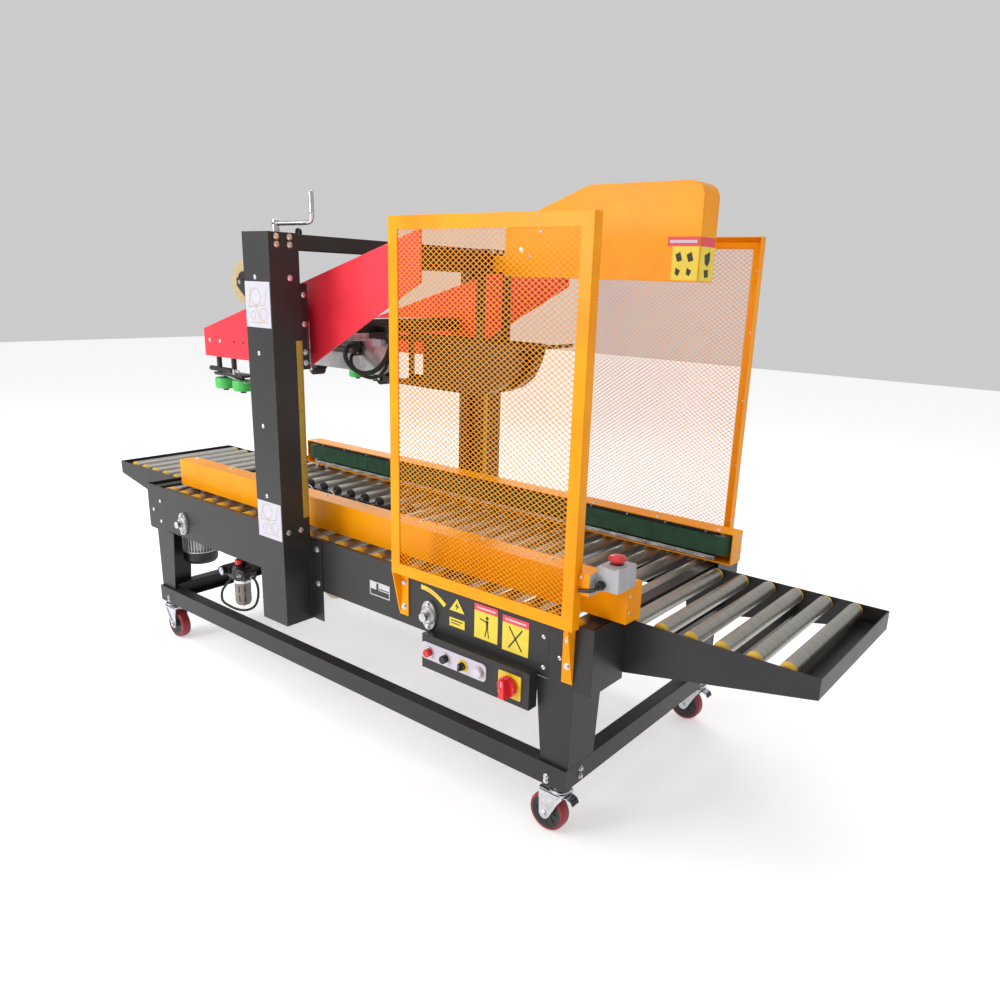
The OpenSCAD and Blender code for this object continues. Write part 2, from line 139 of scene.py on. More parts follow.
M = {
    "charcoal": material("charcoal_powder_coat", (0.023, 0.022, 0.0225), 0.40, var=0.10, bump=0.16, bscale=1300, coat=0.08, spots=0.10, spec=0.35),
    "orange": material("orange_enamel", (0.97, 0.33, 0.001), 0.34, var=0.05, bump=0.05, bscale=700, coat=0.06, second=(1.0, 0.37, 0.001), spots=0.05, spec=0.15),
    "red": material("red_enamel", (0.92, 0.030, 0.055), 0.38, var=0.06, bump=0.07, bscale=700, coat=0.12, spots=0.04, spec=0.35),
    "black": material("black_paint", (0.016, 0.015, 0.016), 0.38, var=0.2, bump=0.12, bscale=1100, spots=0.15),
    "roller": material("galvanised_tube", (0.40, 0.385, 0.35), 0.36, metal=0.85, var=0.16, vscale=26, stretch=(0.5, 9, 0.5), bump=0.08, bscale=90, spots=0.12),
    "steel": material("turned_steel", (0.55, 0.55, 0.56), 0.30, metal=1.0, var=0.12, vscale=40, bump=0.06, bscale=600),
    "zinc": material("bright_zinc", (0.66, 0.67, 0.70), 0.26, metal=1.0, var=0.12, vscale=60, bump=0.05, bscale=500, spots=0.1),
    "chrome": material("chrome", (0.56, 0.57, 0.60), 0.14, metal=1.0, var=0.04, vscale=30, rvar=0.05, bump=0.01, bscale=300),
    "cast": material("cast_aluminium", (0.50, 0.50, 0.51), 0.48, metal=0.8, var=0.12, vscale=45, bump=0.3, bscale=500),
    "yellow": material("yellow_nylon", (0.70, 0.44, 0.03), 0.42, var=0.10, vscale=50, bump=0.05, bscale=900),
    "belt": material("green_belt", (0.022, 0.085, 0.040), 0.62, var=0.22, vscale=35, bump=0.25, bscale=1500, spots=0.2),
    "rubber": material("black_rubber", (0.014, 0.014, 0.015), 0.68, var=0.2, vscale=40, bump=0.2, bscale=1500),
    "tread": material("maroon_tread", (0.26, 0.018, 0.024), 0.45, var=0.15, vscale=40, bump=0.1, bscale=900, spots=0.25),
    "green": material("green_urethane", (0.075, 0.55, 0.11), 0.45, var=0.08, vscale=50, bump=0.06, bscale=900),
    "plate": material("pale_panel", (0.62, 0.57, 0.65), 0.42, var=0.04, vscale=30, bump=0.04, bscale=1200),
    "redp": material("red_plastic", (0.72, 0.012, 0.022), 0.22, var=0.06, vscale=60, bump=0.02, bscale=900, coat=0.3),
    "blackp": material("black_plastic", (0.014, 0.014, 0.015), 0.36, var=0.15, vscale=60, bump=0.1, bscale=1600),
    "yellowp": material("yellow_plastic", (0.83, 0.56, 0.02), 0.35, var=0.05, vscale=60, bump=0.03, bscale=900),
    "grey": material("grey_casting", (0.44, 0.44, 0.46), 0.40, var=0.08, vscale=40, bump=0.12, bscale=1300),
    "lamp": material("lamp_lens", (0.62, 0.60, 0.66), 0.12, var=0.06, vscale=80, bump=0.02, bscale=500, coat=0.4),
    "tape": material("tan_tape", (0.55, 0.42, 0.22), 0.25, var=0.08, vscale=14, stretch=(1, 60, 1), bump=0.05, bscale=60, coat=0.3),
    "bowl": material("bowl_guard", (0.24, 0.215, 0.19), 0.42, metal=0.6, var=0.1, vscale=50, bump=0.1, bscale=900),
    "card": material("card_core", (0.42, 0.29, 0.17), 0.8, var=0.12, vscale=60, bump=0.2, bscale=900),
    "label_y": material("label_yellow", (0.86, 0.66, 0.05), 0.45, var=0.05, vscale=40, bump=0.02, bscale=900),
    "label_r": material("label_red", (0.80, 0.06, 0.09), 0.45, var=0.05, vscale=40, bump=0.02, bscale=900),
    "label_w": material("label_white", (0.60, 0.58, 0.66), 0.5, var=0.03, vscale=30, bump=0.02, bscale=900),
    "ink": material("label_ink", (0.03, 0.028, 0.025), 0.55, var=0.1, vscale=60, bump=0.02, bscale=900),
    "ruler": material("scale_strip", (0.42, 0.27, 0.03), 0.45, var=0.08, vscale=40, bump=0.03, bscale=900),
}

# ------------------------------------------------------------ mesh builder
class Mesh:
    """Collects solids in millimetres, each face with a material key."""
    def __init__(self):
        self.v, self.f, self.m = [], [], []
        self.keys = []
        self.cur = 0
        self.xf = None

    def use(self, key):
        if key not in self.keys:
            self.keys.append(key)
        self.cur = self.keys.index(key)
        return self

    def add(self, verts, faces):
        o = len(self.v)
        if self.xf is not None:
            verts = [tuple(self.xf @ Vector(p)) for p in verts]
        self.v += [tuple(p) for p in verts]
        self.f += [[i + o for i in f] for f in faces]
        self.m += [self.cur] * len(faces)
        return self

    def box(self, x0, x1, y0, y1, z0, z1):
        v = [(x, y, z) for x in (x0, x1) for y in (y0, y1) for z in (z0, z1)]
        f = [(0, 1, 3, 2), (4, 6, 7, 5), (0, 4, 5, 1), (2, 3, 7, 6), (0, 2, 6, 4), (1, 5, 7, 3)]
        return self.add(v, f)

    def prism(self, pts, axis, a, b):
        """outline in the plane across the axis: X -> (y, z), Y -> (x, z), Z -> (x, y)"""
        def p(q, t):
            return (t, q[0], q[1]) if axis == "X" else (q[0], t, q[1]) if axis == "Y" else (q[0], q[1], t)
        n = len(pts)
        v = [p(q, a) for q in pts] + [p(q, b) for q in pts]
        f = [list(range(n)), list(range(2 * n - 1, n - 1, -1))]
        f += [[i, (i + 1) % n, n + (i + 1) % n, n + i] for i in range(n)]
        return self.add(v, f)

    def ring(self, outer, inner, axis, a, b):
        """flat ring between two outlines with the same number of points"""
        def p(q, t):
            return (t, q[0], q[1]) if axis == "X" else (q[0], t, q[1]) if axis == "Y" else (q[0], q[1], t)
        n = len(outer)
        v = [p(q, a) for q in outer] + [p(q, a) for q in inner] + [p(q, b) for q in outer] + [p(q, b) for q in inner]
        f = []
        for i in range(n):
            j = (i + 1) % n
            f += [[i, j, n + j, n + i], [2 * n + i, 3 * n + i, 3 * n + j, 2 * n + j],
                  [i, 2 * n + i, 2 * n + j, j], [n + i, n + j, 3 * n + j, 3 * n + i]]
        return self.add(v, f)

    def lathe(self, c, axis, prof, n=40):
        """prof: list of (distance along the axis from c, radius); closed on the axis at both ends"""
        ax = {"X": Vector((1, 0, 0)), "Y": Vector((0, 1, 0)), "Z": Vector((0, 0, 1))}.get(axis, None)
        ax = ax or Vector(axis).normalized()
        t = Vector((0, 0, 1)) if abs(ax.z) < 0.9 else Vector((1, 0, 0))
        u = ax.cross(t).normalized()
        w = ax.cross(u)
        c = Vector(c)
        v, f, rows = [], [], []
        for h, r in prof:
            if r < 1e-6:
                rows.append([len(v)])
                v.append(c + ax * h)
            else:
                rows.append(list(range(len(v), len(v) + n)))
                v += [c + ax * h + u * (r * cos(2 * pi * i / n)) + w * (r * sin(2 * pi * i / n)) for i in range(n)]
        for a, b in zip(rows, rows[1:]):
            if len(a) == 1 and len(b) == 1:
                continue
            for i in range(n):
                j = (i + 1) % n
                if len(a) == 1:
                    f.append([a[0], b[i], b[j]])
                elif len(b) == 1:
                    f.append([a[i], b[0], a[j]])
                else:
                    f.append([a[i], b[i], b[j], a[j]])
        if len(rows[0]) > 1:
            f.append(list(rows[0]))
        if len(rows[-1]) > 1:
            f.append(list(reversed(rows[-1])))
        return self.add(v, f)

    def cyl(self, c, axis, a, b, r, ch=0.6, n=32):
        ch = min(ch, (b - a) * 0.3, r * 0.4)
        return self.lathe(c, axis, [(a, 0), (a, r - ch), (a + ch, r), (b - ch, r), (b, r - ch), (b, 0)], n)

    def pipe(self, c, axis, a, b, r, ri, ch=0.6, n=40):
        """open tube with chamfered ends: outer r, inner ri"""
        return self.loop_lathe(c, axis, [(a, ri), (a, r - ch), (a + ch, r), (b - ch, r), (b, r - ch), (b, ri)], n)

    def loop_lathe(self, c, axis, prof, n=40):
        ax = {"X": Vector((1, 0, 0)), "Y": Vector((0, 1, 0)), "Z": Vector((0, 0, 1))}[axis]
        t = Vector((0, 0, 1)) if abs(ax.z) < 0.9 else Vector((1, 0, 0))
        u = ax.cross(t).normalized()
        w = ax.cross(u)
        c = Vector(c)
        v, f = [], []
        k = len(prof)
        for h, r in prof:
            v += [c + ax * h + u * (r * cos(2 * pi * i / n)) + w * (r * sin(2 * pi * i / n)) for i in range(n)]
        for a in range(k):
            b = (a + 1) % k
            for i in range(n):
                j = (i + 1) % n
                f.append([a * n + i, b * n + i, b * n + j, a * n + j])
        return self.add(v, f)

    def tube(self, pts, r, n=12, caps=True):
        """round bar along a path"""
        pts = [Vector(p) for p in pts]
        v, f = [], []
        prev = None
        for i, p in enumerate(pts):
            d = (pts[min(i + 1, len(pts) - 1)] - pts[max(i - 1, 0)]).normalized()
            if prev is None:
                t = Vector((0, 0, 1)) if abs(d.z) < 0.9 else Vector((1, 0, 0))
                u = d.cross(t).normalized()
            else:
                u = (prev - d * prev.dot(d)).normalized()
            prev = u
            w = d.cross(u)
            v += [p + u * (r * cos(2 * pi * k / n)) + w * (r * sin(2 * pi * k / n)) for k in range(n)]
        for i in range(len(pts) - 1):
            for k in range(n):
                q = (k + 1) % n
                f.append([i * n + k, i * n + q, (i + 1) * n + q, (i + 1) * n + k])
        if caps:
            f.append(list(range(n - 1, -1, -1)))
            f.append([(len(pts) - 1) * n + k for k in range(n)])
        return self.add(v, f)

    def hexbolt(self, c, axis, r=7.0, h=5.0, washer=True):
        """bolt head standing on the point c, along the axis"""
        ax = Vector(axis)
        t = Vector((0, 0, 1)) if abs(ax.z) < 0.9 else Vector((1, 0, 0))
        u = ax.cross(t).normalized()
        w = ax.cross(u)
        c = Vector(c)
        if washer:
            self.lathe(c, tuple(ax), [(0, 0), (0, r * 1.32), (0.9, r * 1.36), (1.4, r * 1.3), (1.4, 0)], 24)
            c = c + ax * 1.4
        v, n = [], 6
        for hh, rr in ((0, 1.0), (h * 0.78, 1.0), (h, 0.86)):
            v += [c + ax * hh + u * (r * rr * cos(pi * i / 3)) + w * (r * rr * sin(pi * i / 3)) for i in range(6)]
        f = [list(range(5, -1, -1)), list(range(12, 18))]
        for k in (0, 1):
            f += [[k * 6 + i, k * 6 + (i + 1) % 6, k * 6 + 6 + (i + 1) % 6, k * 6 + 6 + i] for i in range(6)]
        return self.add(v, f)

    def dome(self, c, axis, r=6.0, h=3.6):
        """button-head screw with a socket"""
        prof = [(0, 0), (0, r)] + [(h * sin(radians(a)), r * cos(radians(a)) * 0.92 + r * 0.08) for a in (12, 30, 50, 68)]
        prof += [(h, r * 0.42), (h * 0.45, r * 0.38), (h * 0.45, 0)]
        return self.lathe(c, axis, prof, 20)

    def obj(self, name, body, bevel=0.0, segs=2, replaces=(), slot=None, smooth=34, angle=34):
        me = bpy.data.meshes.new(name)
        me.from_pydata([tuple(c * 0.001 for c in p) for p in self.v], [], self.f)
        for k in self.keys:
            me.materials.append(M[k])
        me.polygons.foreach_set("material_index", self.m)
        bm = bmesh.new()
        bm.from_mesh(me)
        bmesh.ops.recalc_face_normals(bm, faces=bm.faces)
        finish_bm(bm, smooth)
        bm.to_mesh(me)
        bm.free()
        o = bpy.data.objects.new(name, me)
        bpy.context.scene.collection.objects.link(o)
        if bevel > 0:
            b = o.modifiers.new("bevel", "BEVEL")
            b.width = bevel * 0.001
            b.segments = segs
            b.limit_method = "ANGLE"
            b.angle_limit = radians(angle)
            b.use_clamp_overlap = True
            w = o.modifiers.new("normals", "WEIGHTED_NORMAL")
            w.keep_sharp = True
        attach(o, body)
        if replaces:
            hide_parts(*replaces)
        return o

def finish_bm(bm, smooth=34):
    for f in bm.faces:
        f.smooth = True
    for e in bm.edges:
        e.smooth = not (len(e.link_faces) == 2 and e.calc_face_angle(0) > radians(smooth))

NODE_BODY = {n: b for b, ns in frame["record"]["behaviour"]["bodies"].items() for n in ns}

def refine(node, key, width=0.7, paint=None):
    """a copy of a CAD node with broken edges, which stands for it"""
    src = frame["nodes"][node]
    bm = bmesh.new()
    bm.from_mesh(src.data)
    bmesh.ops.remove_doubles(bm, verts=bm.verts, dist=2e-6)
    bmesh.ops.dissolve_limit(bm, angle_limit=radians(0.6), verts=bm.verts, edges=bm.edges)
    for f in bm.faces:
        f.material_index = 0
    me = bpy.data.meshes.new(node + "_skin")
    finish_bm(bm)
    bm.to_mesh(me)
    bm.free()
    me.materials.clear()
    me.materials.append(M[key])
    if paint:
        keys = [key]
        for poly in me.polygons:
            k = paint(poly.center * 1000, poly.normal)
            if k:
                if k not in keys:
                    keys.append(k)
                    me.materials.append(M[k])
                poly.material_index = keys.index(k)
    o = bpy.data.objects.new(node + "_skin", me)
    bpy.context.scene.collection.objects.link(o)
    b = o.modifiers.new("bevel", "BEVEL")
    b.width = width * 0.001
    b.segments = 2
    b.limit_method = "ANGLE"
    b.angle_limit = radians(38)
    b.use_clamp_overlap = True
    w = o.modifiers.new("normals", "WEIGHTED_NORMAL")
    w.keep_sharp = True
    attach(o, NODE_BODY[node])
    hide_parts(node)
    return o

# ------------------------------------------------------------ plain sheet metal
for node, key, w in [
    ("side_panels", "charcoal", 0.8), ("legs", "charcoal", 0.8), ("base_rails", "charcoal", 0.9),
    ("columns", "charcoal", 0.9), ("top_beam", "charcoal", 0.9), ("bed_crossbars", "charcoal", 0.8),
    ("infeed_table", "charcoal", 0.8), ("outfeed_table", "charcoal", 0.8), ("control_box", "charcoal", 1.2),
    ("head_side_plates", "red", 1.2), ("head_carriage", "black", 0.8), ("folding_shoe", "black", 0.8),
    ("kicker_housing", "orange", 2.2), ("kicker_arm", "steel", 1.0), ("near_belt_cover", "orange", 0.9),
    ("far_belt_cover", "orange", 0.9), ("top_cartridge", "steel", 0.6), ("bottom_cartridge", "steel", 0.6),
    ("near_lift_screw", "steel", 0.6), ("far_lift_screw", "steel", 0.6),
    ("rear_width_shaft", "steel", 0.8), ("front_width_shaft", "steel", 0.8),
]:
    refine(node, key, w)

refine("estop_box", "grey", 1.2, paint=lambda c, n: "orange" if c.x < 935.2 and (c.y < -387.9 or c.x < 934.9) else
       "blackp" if c.y < -365.2 and 941 < c.x < 959 else None)

# ------------------------------------------------------------ rollers
def rollers(name, node, items):
    g = Mesh()
    for x, a, b in items:
        c = (x, 0, 533)
        g.use("roller").cyl(c, "Y", a + 21, b - 21, 19, 0.4, 32)
        for e, q in ((a, 1), (b, -1)):
            if abs(e) == 372:
                g.use("yellow").pipe(c, "Y", *sorted((e + q * 20, e + q * 46)), 19.5, 18.6, 0.4, 32)
        g.use("rubber" if a == 70 else "yellow").lathe(c, "Y", [(a + 9, 0), (a + 9, 13), (a + 10, 15.5), (a + 12, 17.6), (a + 20, 18.9), (a + 21.4, 19.0), (a + 21.4, 0)], 28)
        g.use("rubber" if b == -70 else "yellow").lathe(c, "Y", [(b - 21.4, 0), (b - 21.4, 19.0), (b - 20, 18.9), (b - 12, 17.6), (b - 10, 15.5), (b - 9, 13), (b - 9, 0)], 28)
        g.use("zinc").lathe(c, "Y", [(a, 0), (a, 5.6), (a + 9.5, 5.6), (a + 9.5, 0)], 6)
        g.lathe(c, "Y", [(b - 9.5, 0), (b - 9.5, 5.6), (b, 5.6), (b, 0)], 6)
    g.obj(name, "frame", replaces=[node], slot="roller_steel")
rollers("infeed_table_rollers", "infeed_rollers", [(950 + 74 * i, -238, 238) for i in range(6)])
rollers("outfeed_table_rollers", "outfeed_rollers", [(-950 - 74 * i, -238, 238) for i in range(6)])
bed = []
for i in range(24):
    x = 875 - 75 * i
    bed += [(x, -372, -70), (x, 70, 372)] if -650 < x < -60 else [(x, -372, 372)]
rollers("bed_roller_set", "bed_rollers", bed)

# ------------------------------------------------------------ mesh guards
def guard(name, s):
    g = Mesh().use("orange")
    T = 3.0
    def rect(a):
        return [(340 + a, 553 + a), (907 - a, 553 + a), (907 - a, 1416 - a), (340 + a, 1416 - a)]
    # angle iron: front flange and outer web in one section
    for a, b, y0, y1 in ((0, 30, 404, 407), (0, T, 379, 404)):
        g.ring(rect(a), rect(b), "Y", *sorted((s * y0, s * y1)))
    # flat strips that clamp the mesh from behind
    g.ring(rect(12), rect(27), "Y", *sorted((s * 400.2, s * 401.8)))
    # brackets with a gusset
    for x, z0, w in ((340, 430, 340), (866, 412, 892)):
        g.box(x, x + (32 if x < 500 else 30), *sorted((s * 375, s * 379)), z0, 600)
        g.prism([(s * 379, z0 + 8), (s * 381, z0 + 8), (s * 405, 549), (s * 405, 553), (s * 379, 553)], "X", w, w + 4)
    g.obj(name + "_frame", "frame", bevel=0.9, replaces=[name], slot="orange_paint")
    z = Mesh().use("zinc")
    for x in (352, 895):
        for zz in (640, 800, 985, 1170, 1330):
            z.dome((x, s * 400.2, zz), (0, -s, 0), 3.6, 2)
    z.obj(name + "_clamp_screws", "frame", slot="bright_steel")
    # expanded metal
    e = Mesh().use("orange")
    W, H = 16.9, 12.0
    x0, x1, z0, z1 = 364, 883, 577, 1392
    nx = int(round((x1 - x0) / (W / 2)))
    nz = int((z1 - z0) / (H / 2))
    for k in range(nz):
        zb = z0 + k * H / 2
        v, f = [], []
        for j in range(nx + 1):
            x = x0 + j * W / 2
            up = (j + k) % 2
            zz = zb + up * H / 2
            y = s * (402.9 + (0.35 if up else -0.35))
            v += [(x, y - 0.55, zz - 0.9), (x, y + 0.55, zz - 0.9), (x, y + 0.55, zz + 0.9), (x, y - 0.55, zz + 0.9)]
        for j in range(nx):
            a, b = j * 4, j * 4 + 4
            for q in range(4):
                r = (q + 1) % 4
                f.append([a + q, a + r, b + r, b + q])
        f.append([3, 2, 1, 0])
        f.append([nx * 4 + q for q in range(4)])
        e.add(v, f)
    e.obj(name + "_expanded_mesh", "frame", slot="orange_paint")
guard("near_guard", -1)
guard("far_guard", 1)

# ------------------------------------------------------------ castors
def castor(prefix, sx, sy):
    ax, ay = 866 * sx, 357 * sy
    wx = ax - 28 * sx
    g = Mesh().use("zinc")
    # top plate and king pin
    g.lathe((ax, ay, 0), "Z", [(118, 0), (118, 24), (120, 27), (123, 27.5), (126, 24), (127, 17), (133.5, 17), (133.5, 0)], 36)
    g.lathe((ax, ay, 0), "Z", [(128, 0), (128, 21.5), (133.6, 21.5), (133.6, 0)], 36)
    # crown
    def X(v): return ax + v * sx
    pts = [(X(24), ay - 20), (X(24), ay + 20), (X(16), ay + 25), (X(-44), ay + 25), (X(-48), ay + 20),
           (X(-48), ay - 20), (X(-44), ay - 25), (X(16), ay - 25)]
    g.prism(pts, "Z", 113, 118)
    for s in (-1, 1):
        y0, y1 = ay + s * 21.4, ay + s * 25
        pts = [(X(20), 117), (X(22), 108), (X(10), 92), (X(-14), 46), (X(-20), 39), (X(-28), 36), (X(-37), 39), (X(-42), 47),
               (X(-43), 60), (X(-46), 108), (X(-44), 117)]
        g.prism(pts, "Y", min(y0, y1), max(y0, y1))
        g.hexbolt((wx, ay + s * 25, 50), (0, s, 0), 8, 4)
        # pressed rib
        g.tube([(X(8), ay + s * 25.2, 106), (X(-6), ay + s * 26, 84), (X(-20), ay + s * 26, 62)], 2.4, 8)
    # brake pedal with curled lip
    ped = [(14, 106, 3), (26, 108, 3), (40, 104, 3), (46, 96, 3)]
    v, f = [], []
    prof = [(12, 108), (28, 110), (40, 106), (46, 96), (43.5, 95), (38.5, 103.5), (28, 107), (12, 105)]
    g.prism([(X(a), b) for a, b in prof], "Y", ay - 15, ay + 15)
    g.use("blackp").prism([(X(38), 107.2), (X(41.5), 105.6), (X(47), 96), (X(45), 95)], "Y", ay - 13, ay + 13)
    g.obj(prefix + "_castor_fork", prefix + "_swivel", bevel=0.7, replaces=[prefix + "_fork"], slot="bright_steel")
    w = Mesh().use("tread")
    c = (wx, ay, 50)
    w.loop_lathe(c, "Y", [(-15.8, 39), (-16, 44), (-15, 47.5), (-12, 49.4), (-8, 50), (8, 50), (12, 49.4), (15, 47.5), (16, 44), (15.8, 39)], 56)
    w.use("blackp").lathe(c, "Y", [(-20, 0), (-20, 11), (-18, 13), (-14.5, 15), (-13.5, 30), (-15.9, 37), (-16.1, 41.5), (16.1, 41.5), (15.9, 37), (13.5, 30), (14.5, 15), (18, 13), (20, 11), (20, 0)], 56)
    for k in range(8):
        a = 2 * pi * k / 8
        w.xf = Matrix.Translation(Vector(c)) @ Matrix.Rotation(a, 4, "Y")
        w.prism([(14, -2), (33, -1.4), (33, 1.4), (14, 2)], "Y", -15.4, 15.4)
    w.xf = None
    w.use("zinc").lathe(c, "Y", [(-28, 0), (-28, 5.9), (28, 5.9), (28, 0)], 20)
    w.obj(prefix + "_castor_wheel", prefix + "_roll", replaces=[prefix + "_wheel"], slot="castor_tread")
for a, sx in (("infeed", 1), ("outfeed", -1)):
    for b, sy in (("near", -1), ("far", 1)):
        castor(f"{a}_{b}", sx, sy)

# bolts on the rails above the castors
g = Mesh().use("zinc")
for sx in (-1, 1):
    for sy in (-1, 1):
        for dx, dy in ((-22, 10), (-22, -10), (22, 10), (22, -10)):
            pass
        for dz in (157, 145):
            g.hexbolt((sx * 842, sy * 385, dz - 0), (0, sy, 0), 5.5, 4)
        for dz in (170, 150):
            g.hexbolt((sx * 896, sy * 320, dz), (sx, 0, 0), 5.5, 4)
g.obj("rail_bolts", "frame", slot="bright_steel")

# ------------------------------------------------------------ bolts, screws and labels on the frame
g = Mesh().use("zinc")
for s in (-1, 1):
    yb = s * 375
    for x, z in [(-864, 506), (-912, 468), (-867, 433), (810, 504), (812, 428), (857, 466)]:
        g.dome((x, yb, z), (0, s, 0), 6.5, 4)
    for x, z in [(358, 522), (358, 455), (881, 519), (881, 455)]:
        g.hexbolt((x, s * 379, z), (0, s, 0), 6.5, 4.5)
    for x in (0, -184):
        for z in (426, 529):
            g.hexbolt((x, s * 379, z), (0, s, 0), 7.5, 4.6)
    for z in (684, 881, 1076, 1270):
        g.dome((-97, s * 467, z), (0, s, 0), 6.5, 3)
    for y, z in [(443, 1371), (443, 1352), (403, 1371), (403, 1352), (406, 1270), (447, 586), (406, 586)]:
        g.hexbolt((-32, s * y, z), (1, 0, 0), 6, 3.5)
    for e in (-1, 1):
        for x in (1144, 1334):
            g.dome((e * x, s * 228, 499.5 + 48 if False else 547), (0, 0, 1), 4, 2) if False else None
g.obj("frame_bolt_set", "frame", replaces=["frame_bolts"], slot="bright_steel")

def label(g, x0, x1, z0, z1, y, s, t=0.7):
    g.box(x0, x1, min(y, y + s * t), max(y, y + s * t), z0, z1)
lab = Mesh()
for s in (-1,):
    y = -375
    # curved arrow band
    lab.use("label_y")
    arc = [(416 + 84 * t, 524 - 30 * t ** 2.2) for t in [k / 14 for k in range(15)]]
    nrm = []
    for k in range(15):
        a, b = arc[max(k - 1, 0)], arc[min(k + 1, 14)]
        d = Vector((b[0] - a[0], b[1] - a[1])).normalized()
        nrm.append(Vector((-d.y, d.x)))
    up = [(p[0] + n.x * 6, p[1] + n.y * 6) for p, n in zip(arc, nrm)]
    lo = [(p[0] - n.x * 6, p[1] - n.y * 6) for p, n in zip(arc, nrm)]
    lab.prism(lo + up[::-1], "Y", -375.8, -375)
    lab.use("label_r").prism([(p[0] - n.x * 0.8, p[1] - n.y * 0.8) for p, n in list(zip(arc, nrm))[3:12]] +
                             [(p[0] + n.x * 0.8, p[1] + n.y * 0.8) for p, n in list(zip(arc, nrm))[3:12]][::-1], "Y", -376.0, -375)
    # triangle with dark border
    lab.use("ink").prism([(511, 486), (571, 486), (541, 529)], "Y", -375.5, -375)
    lab.use("label_y").prism([(516, 489), (566, 489), (541, 524)], "Y", -375.9, -375)
    lab.use("ink").prism([(543, 514), (535, 502), (541, 502), (537, 492), (548, 505), (542, 505)], "Y", -376.2, -375)
    lab.use("label_y"); label(lab, 516, 567, 447, 470, y, s)
    lab.use("ink")
    label(lab, 521, 560, 462, 465, y, s, 0.9); label(lab, 521, 552, 455, 457.5, y, s, 0.9)
    for x0, x1, z0, z1 in ((599, 673, 441, 531), (688, 767, 436, 526)):
        lab.use("label_y"); label(lab, x0, x1, z0, z1, y, s)
        lab.use("label_r"); label(lab, x0, x1, z1 - 18, z1, y, s, 0.9)
        lab.use("label_w"); label(lab, x0 + 8, x1 - 8, z1 - 11.5, z1 - 7, y, s, 1.1)
    # generic pictograms: a plain bar figure and a crossing-out
    lab.use("ink")
    cxm, zc = 640, 476
    lab.lathe((cxm, -375.5, 500), (0, -1, 0), [(0, 0), (0, 4.5), (0.9, 4.5), (0.9, 0)], 16)
    lab.prism([(cxm - 4, 494), (cxm + 4, 494), (cxm + 3, 472), (cxm - 3, 472)], "Y", -376.1, -375)
    lab.prism([(cxm - 3, 472), (cxm, 472), (cxm - 5, 450), (cxm - 8, 450)], "Y", -376.1, -375)
    lab.prism([(cxm, 472), (cxm + 3, 472), (cxm + 7, 450), (cxm + 4, 450)], "Y", -376.1, -375)
    lab.prism([(cxm - 24, 492), (cxm - 22, 495), (cxm + 4, 490), (cxm + 3, 487)], "Y", -376.1, -375)
    for a, b in (((708, 500), (748, 446)), ((748, 500), (708, 446))):
        d = (Vector(b) - Vector(a)).normalized() * 2
        n = Vector((-d.y, d.x))
        lab.prism([(a[0] + n.x, a[1] + n.y), (b[0] + n.x, b[1] + n.y), (b[0] - n.x, b[1] - n.y), (a[0] - n.x, a[1] - n.y)], "Y", -376.1, -375)
    # rating plate, blank
    lab.use("steel"); label(lab, 220, 298, 452, 492, y, s)
    lab.use("ink"); label(lab, 223, 295, 455, 470, y, s, 0.9)
    label(lab, 246, 254, 470, 489, y, s, 0.9); label(lab, 256, 295, 473, 476, y, s, 0.9)
    # pale cards on the near column, with faint generic sketches
    for z0, z1 in ((1143, 1259), (562, 668)):
        lab.use("label_w"); label(lab, -143, -36, z0, z1, -467, s)
        lab.use("ruler")
        for cxx, czz, rr in ((-98, z0 + 78, 22), (-66, z0 + 34, 16), (-112, z0 + 30, 10)):
            o = [(cxx + rr * cos(2 * pi * k / 28), czz + rr * sin(2 * pi * k / 28)) for k in range(28)]
            n = [(cxx + (rr - 1) * cos(2 * pi * k / 28), czz + (rr - 1) * sin(2 * pi * k / 28)) for k in range(28)]
            lab.ring(o, n, "Y", -467.95, -467)
        for a, b in (((-130, z0 + 50), (-60, z0 + 58)), ((-60, z0 + 58), (-50, z0 + 96)), ((-130, z0 + 50), (-118, z0 + 98)),
                     ((-126, z0 + 12), (-50, z0 + 14)), ((-98, z0 + 56), (-84, z0 + 20))):
            d = (Vector(b) - Vector(a)).normalized() * 0.5
            lab.prism([(a[0] - d.y, a[1] + d.x), (b[0] - d.y, b[1] + d.x), (b[0] + d.y, b[1] - d.x), (a[0] + d.y, a[1] - d.x)], "Y", -467.95, -467)
lab.obj("frame_labels", "frame", slot="yellow_plastic")

rl = Mesh()
for s in (-1, 1):
    y0, y1 = sorted((s * 376, s * 396))
    rl.use("ruler").box(-32, -30.6, y0, y1, 620, 1110)
    rl.use("ink")
    for k in range(98):
        z = 622.5 + 5 * k
        l = 12 if k % 10 == 0 else 8 if k % 5 == 0 else 5
        a, b = sorted((s * 376.5, s * (376.5 + l)))
        rl.box(-30.8, -30.35, a, b, z, z + 0.9)
rl.obj("height_scales", "frame", slot="yellow_plastic")

# ------------------------------------------------------------ oval bearings on the panels
g = Mesh()
for s in (-1, 1):
    for x in (-717, 447):
        g.use("cast")
        pts = []
        for k in range(40):
            a = 2 * pi * k / 40
            r = 26 + 13 * abs(sin(a)) ** 2.4
            pts.append((x + r * cos(a) * 0.92, 455 + r * sin(a)))
        g.prism(pts, "Y", *sorted((s * 375, s * 382)))
        g.lathe((x, 0, 455), (0, s, 0), [(380, 0), (380, 25), (385, 24), (389, 19.5), (389, 12.3), (378, 12.3), (378, 0)], 36)
        g.use("zinc")
        for dz in (-31, 31):
            g.hexbolt((x, s * 382, 455 + dz), (0, s, 0), 5.5, 4)
        g.use("chrome").loop_lathe((x, 0, 455), "Y", [(s * 388, 12.2), (s * 388, 17), (s * 391.5, 16.5), (s * 391.5, 12.2)], 32)
g.obj("oval_bearing_set", "frame", bevel=0.8, replaces=["shaft_bearings"], slot="bright_steel")

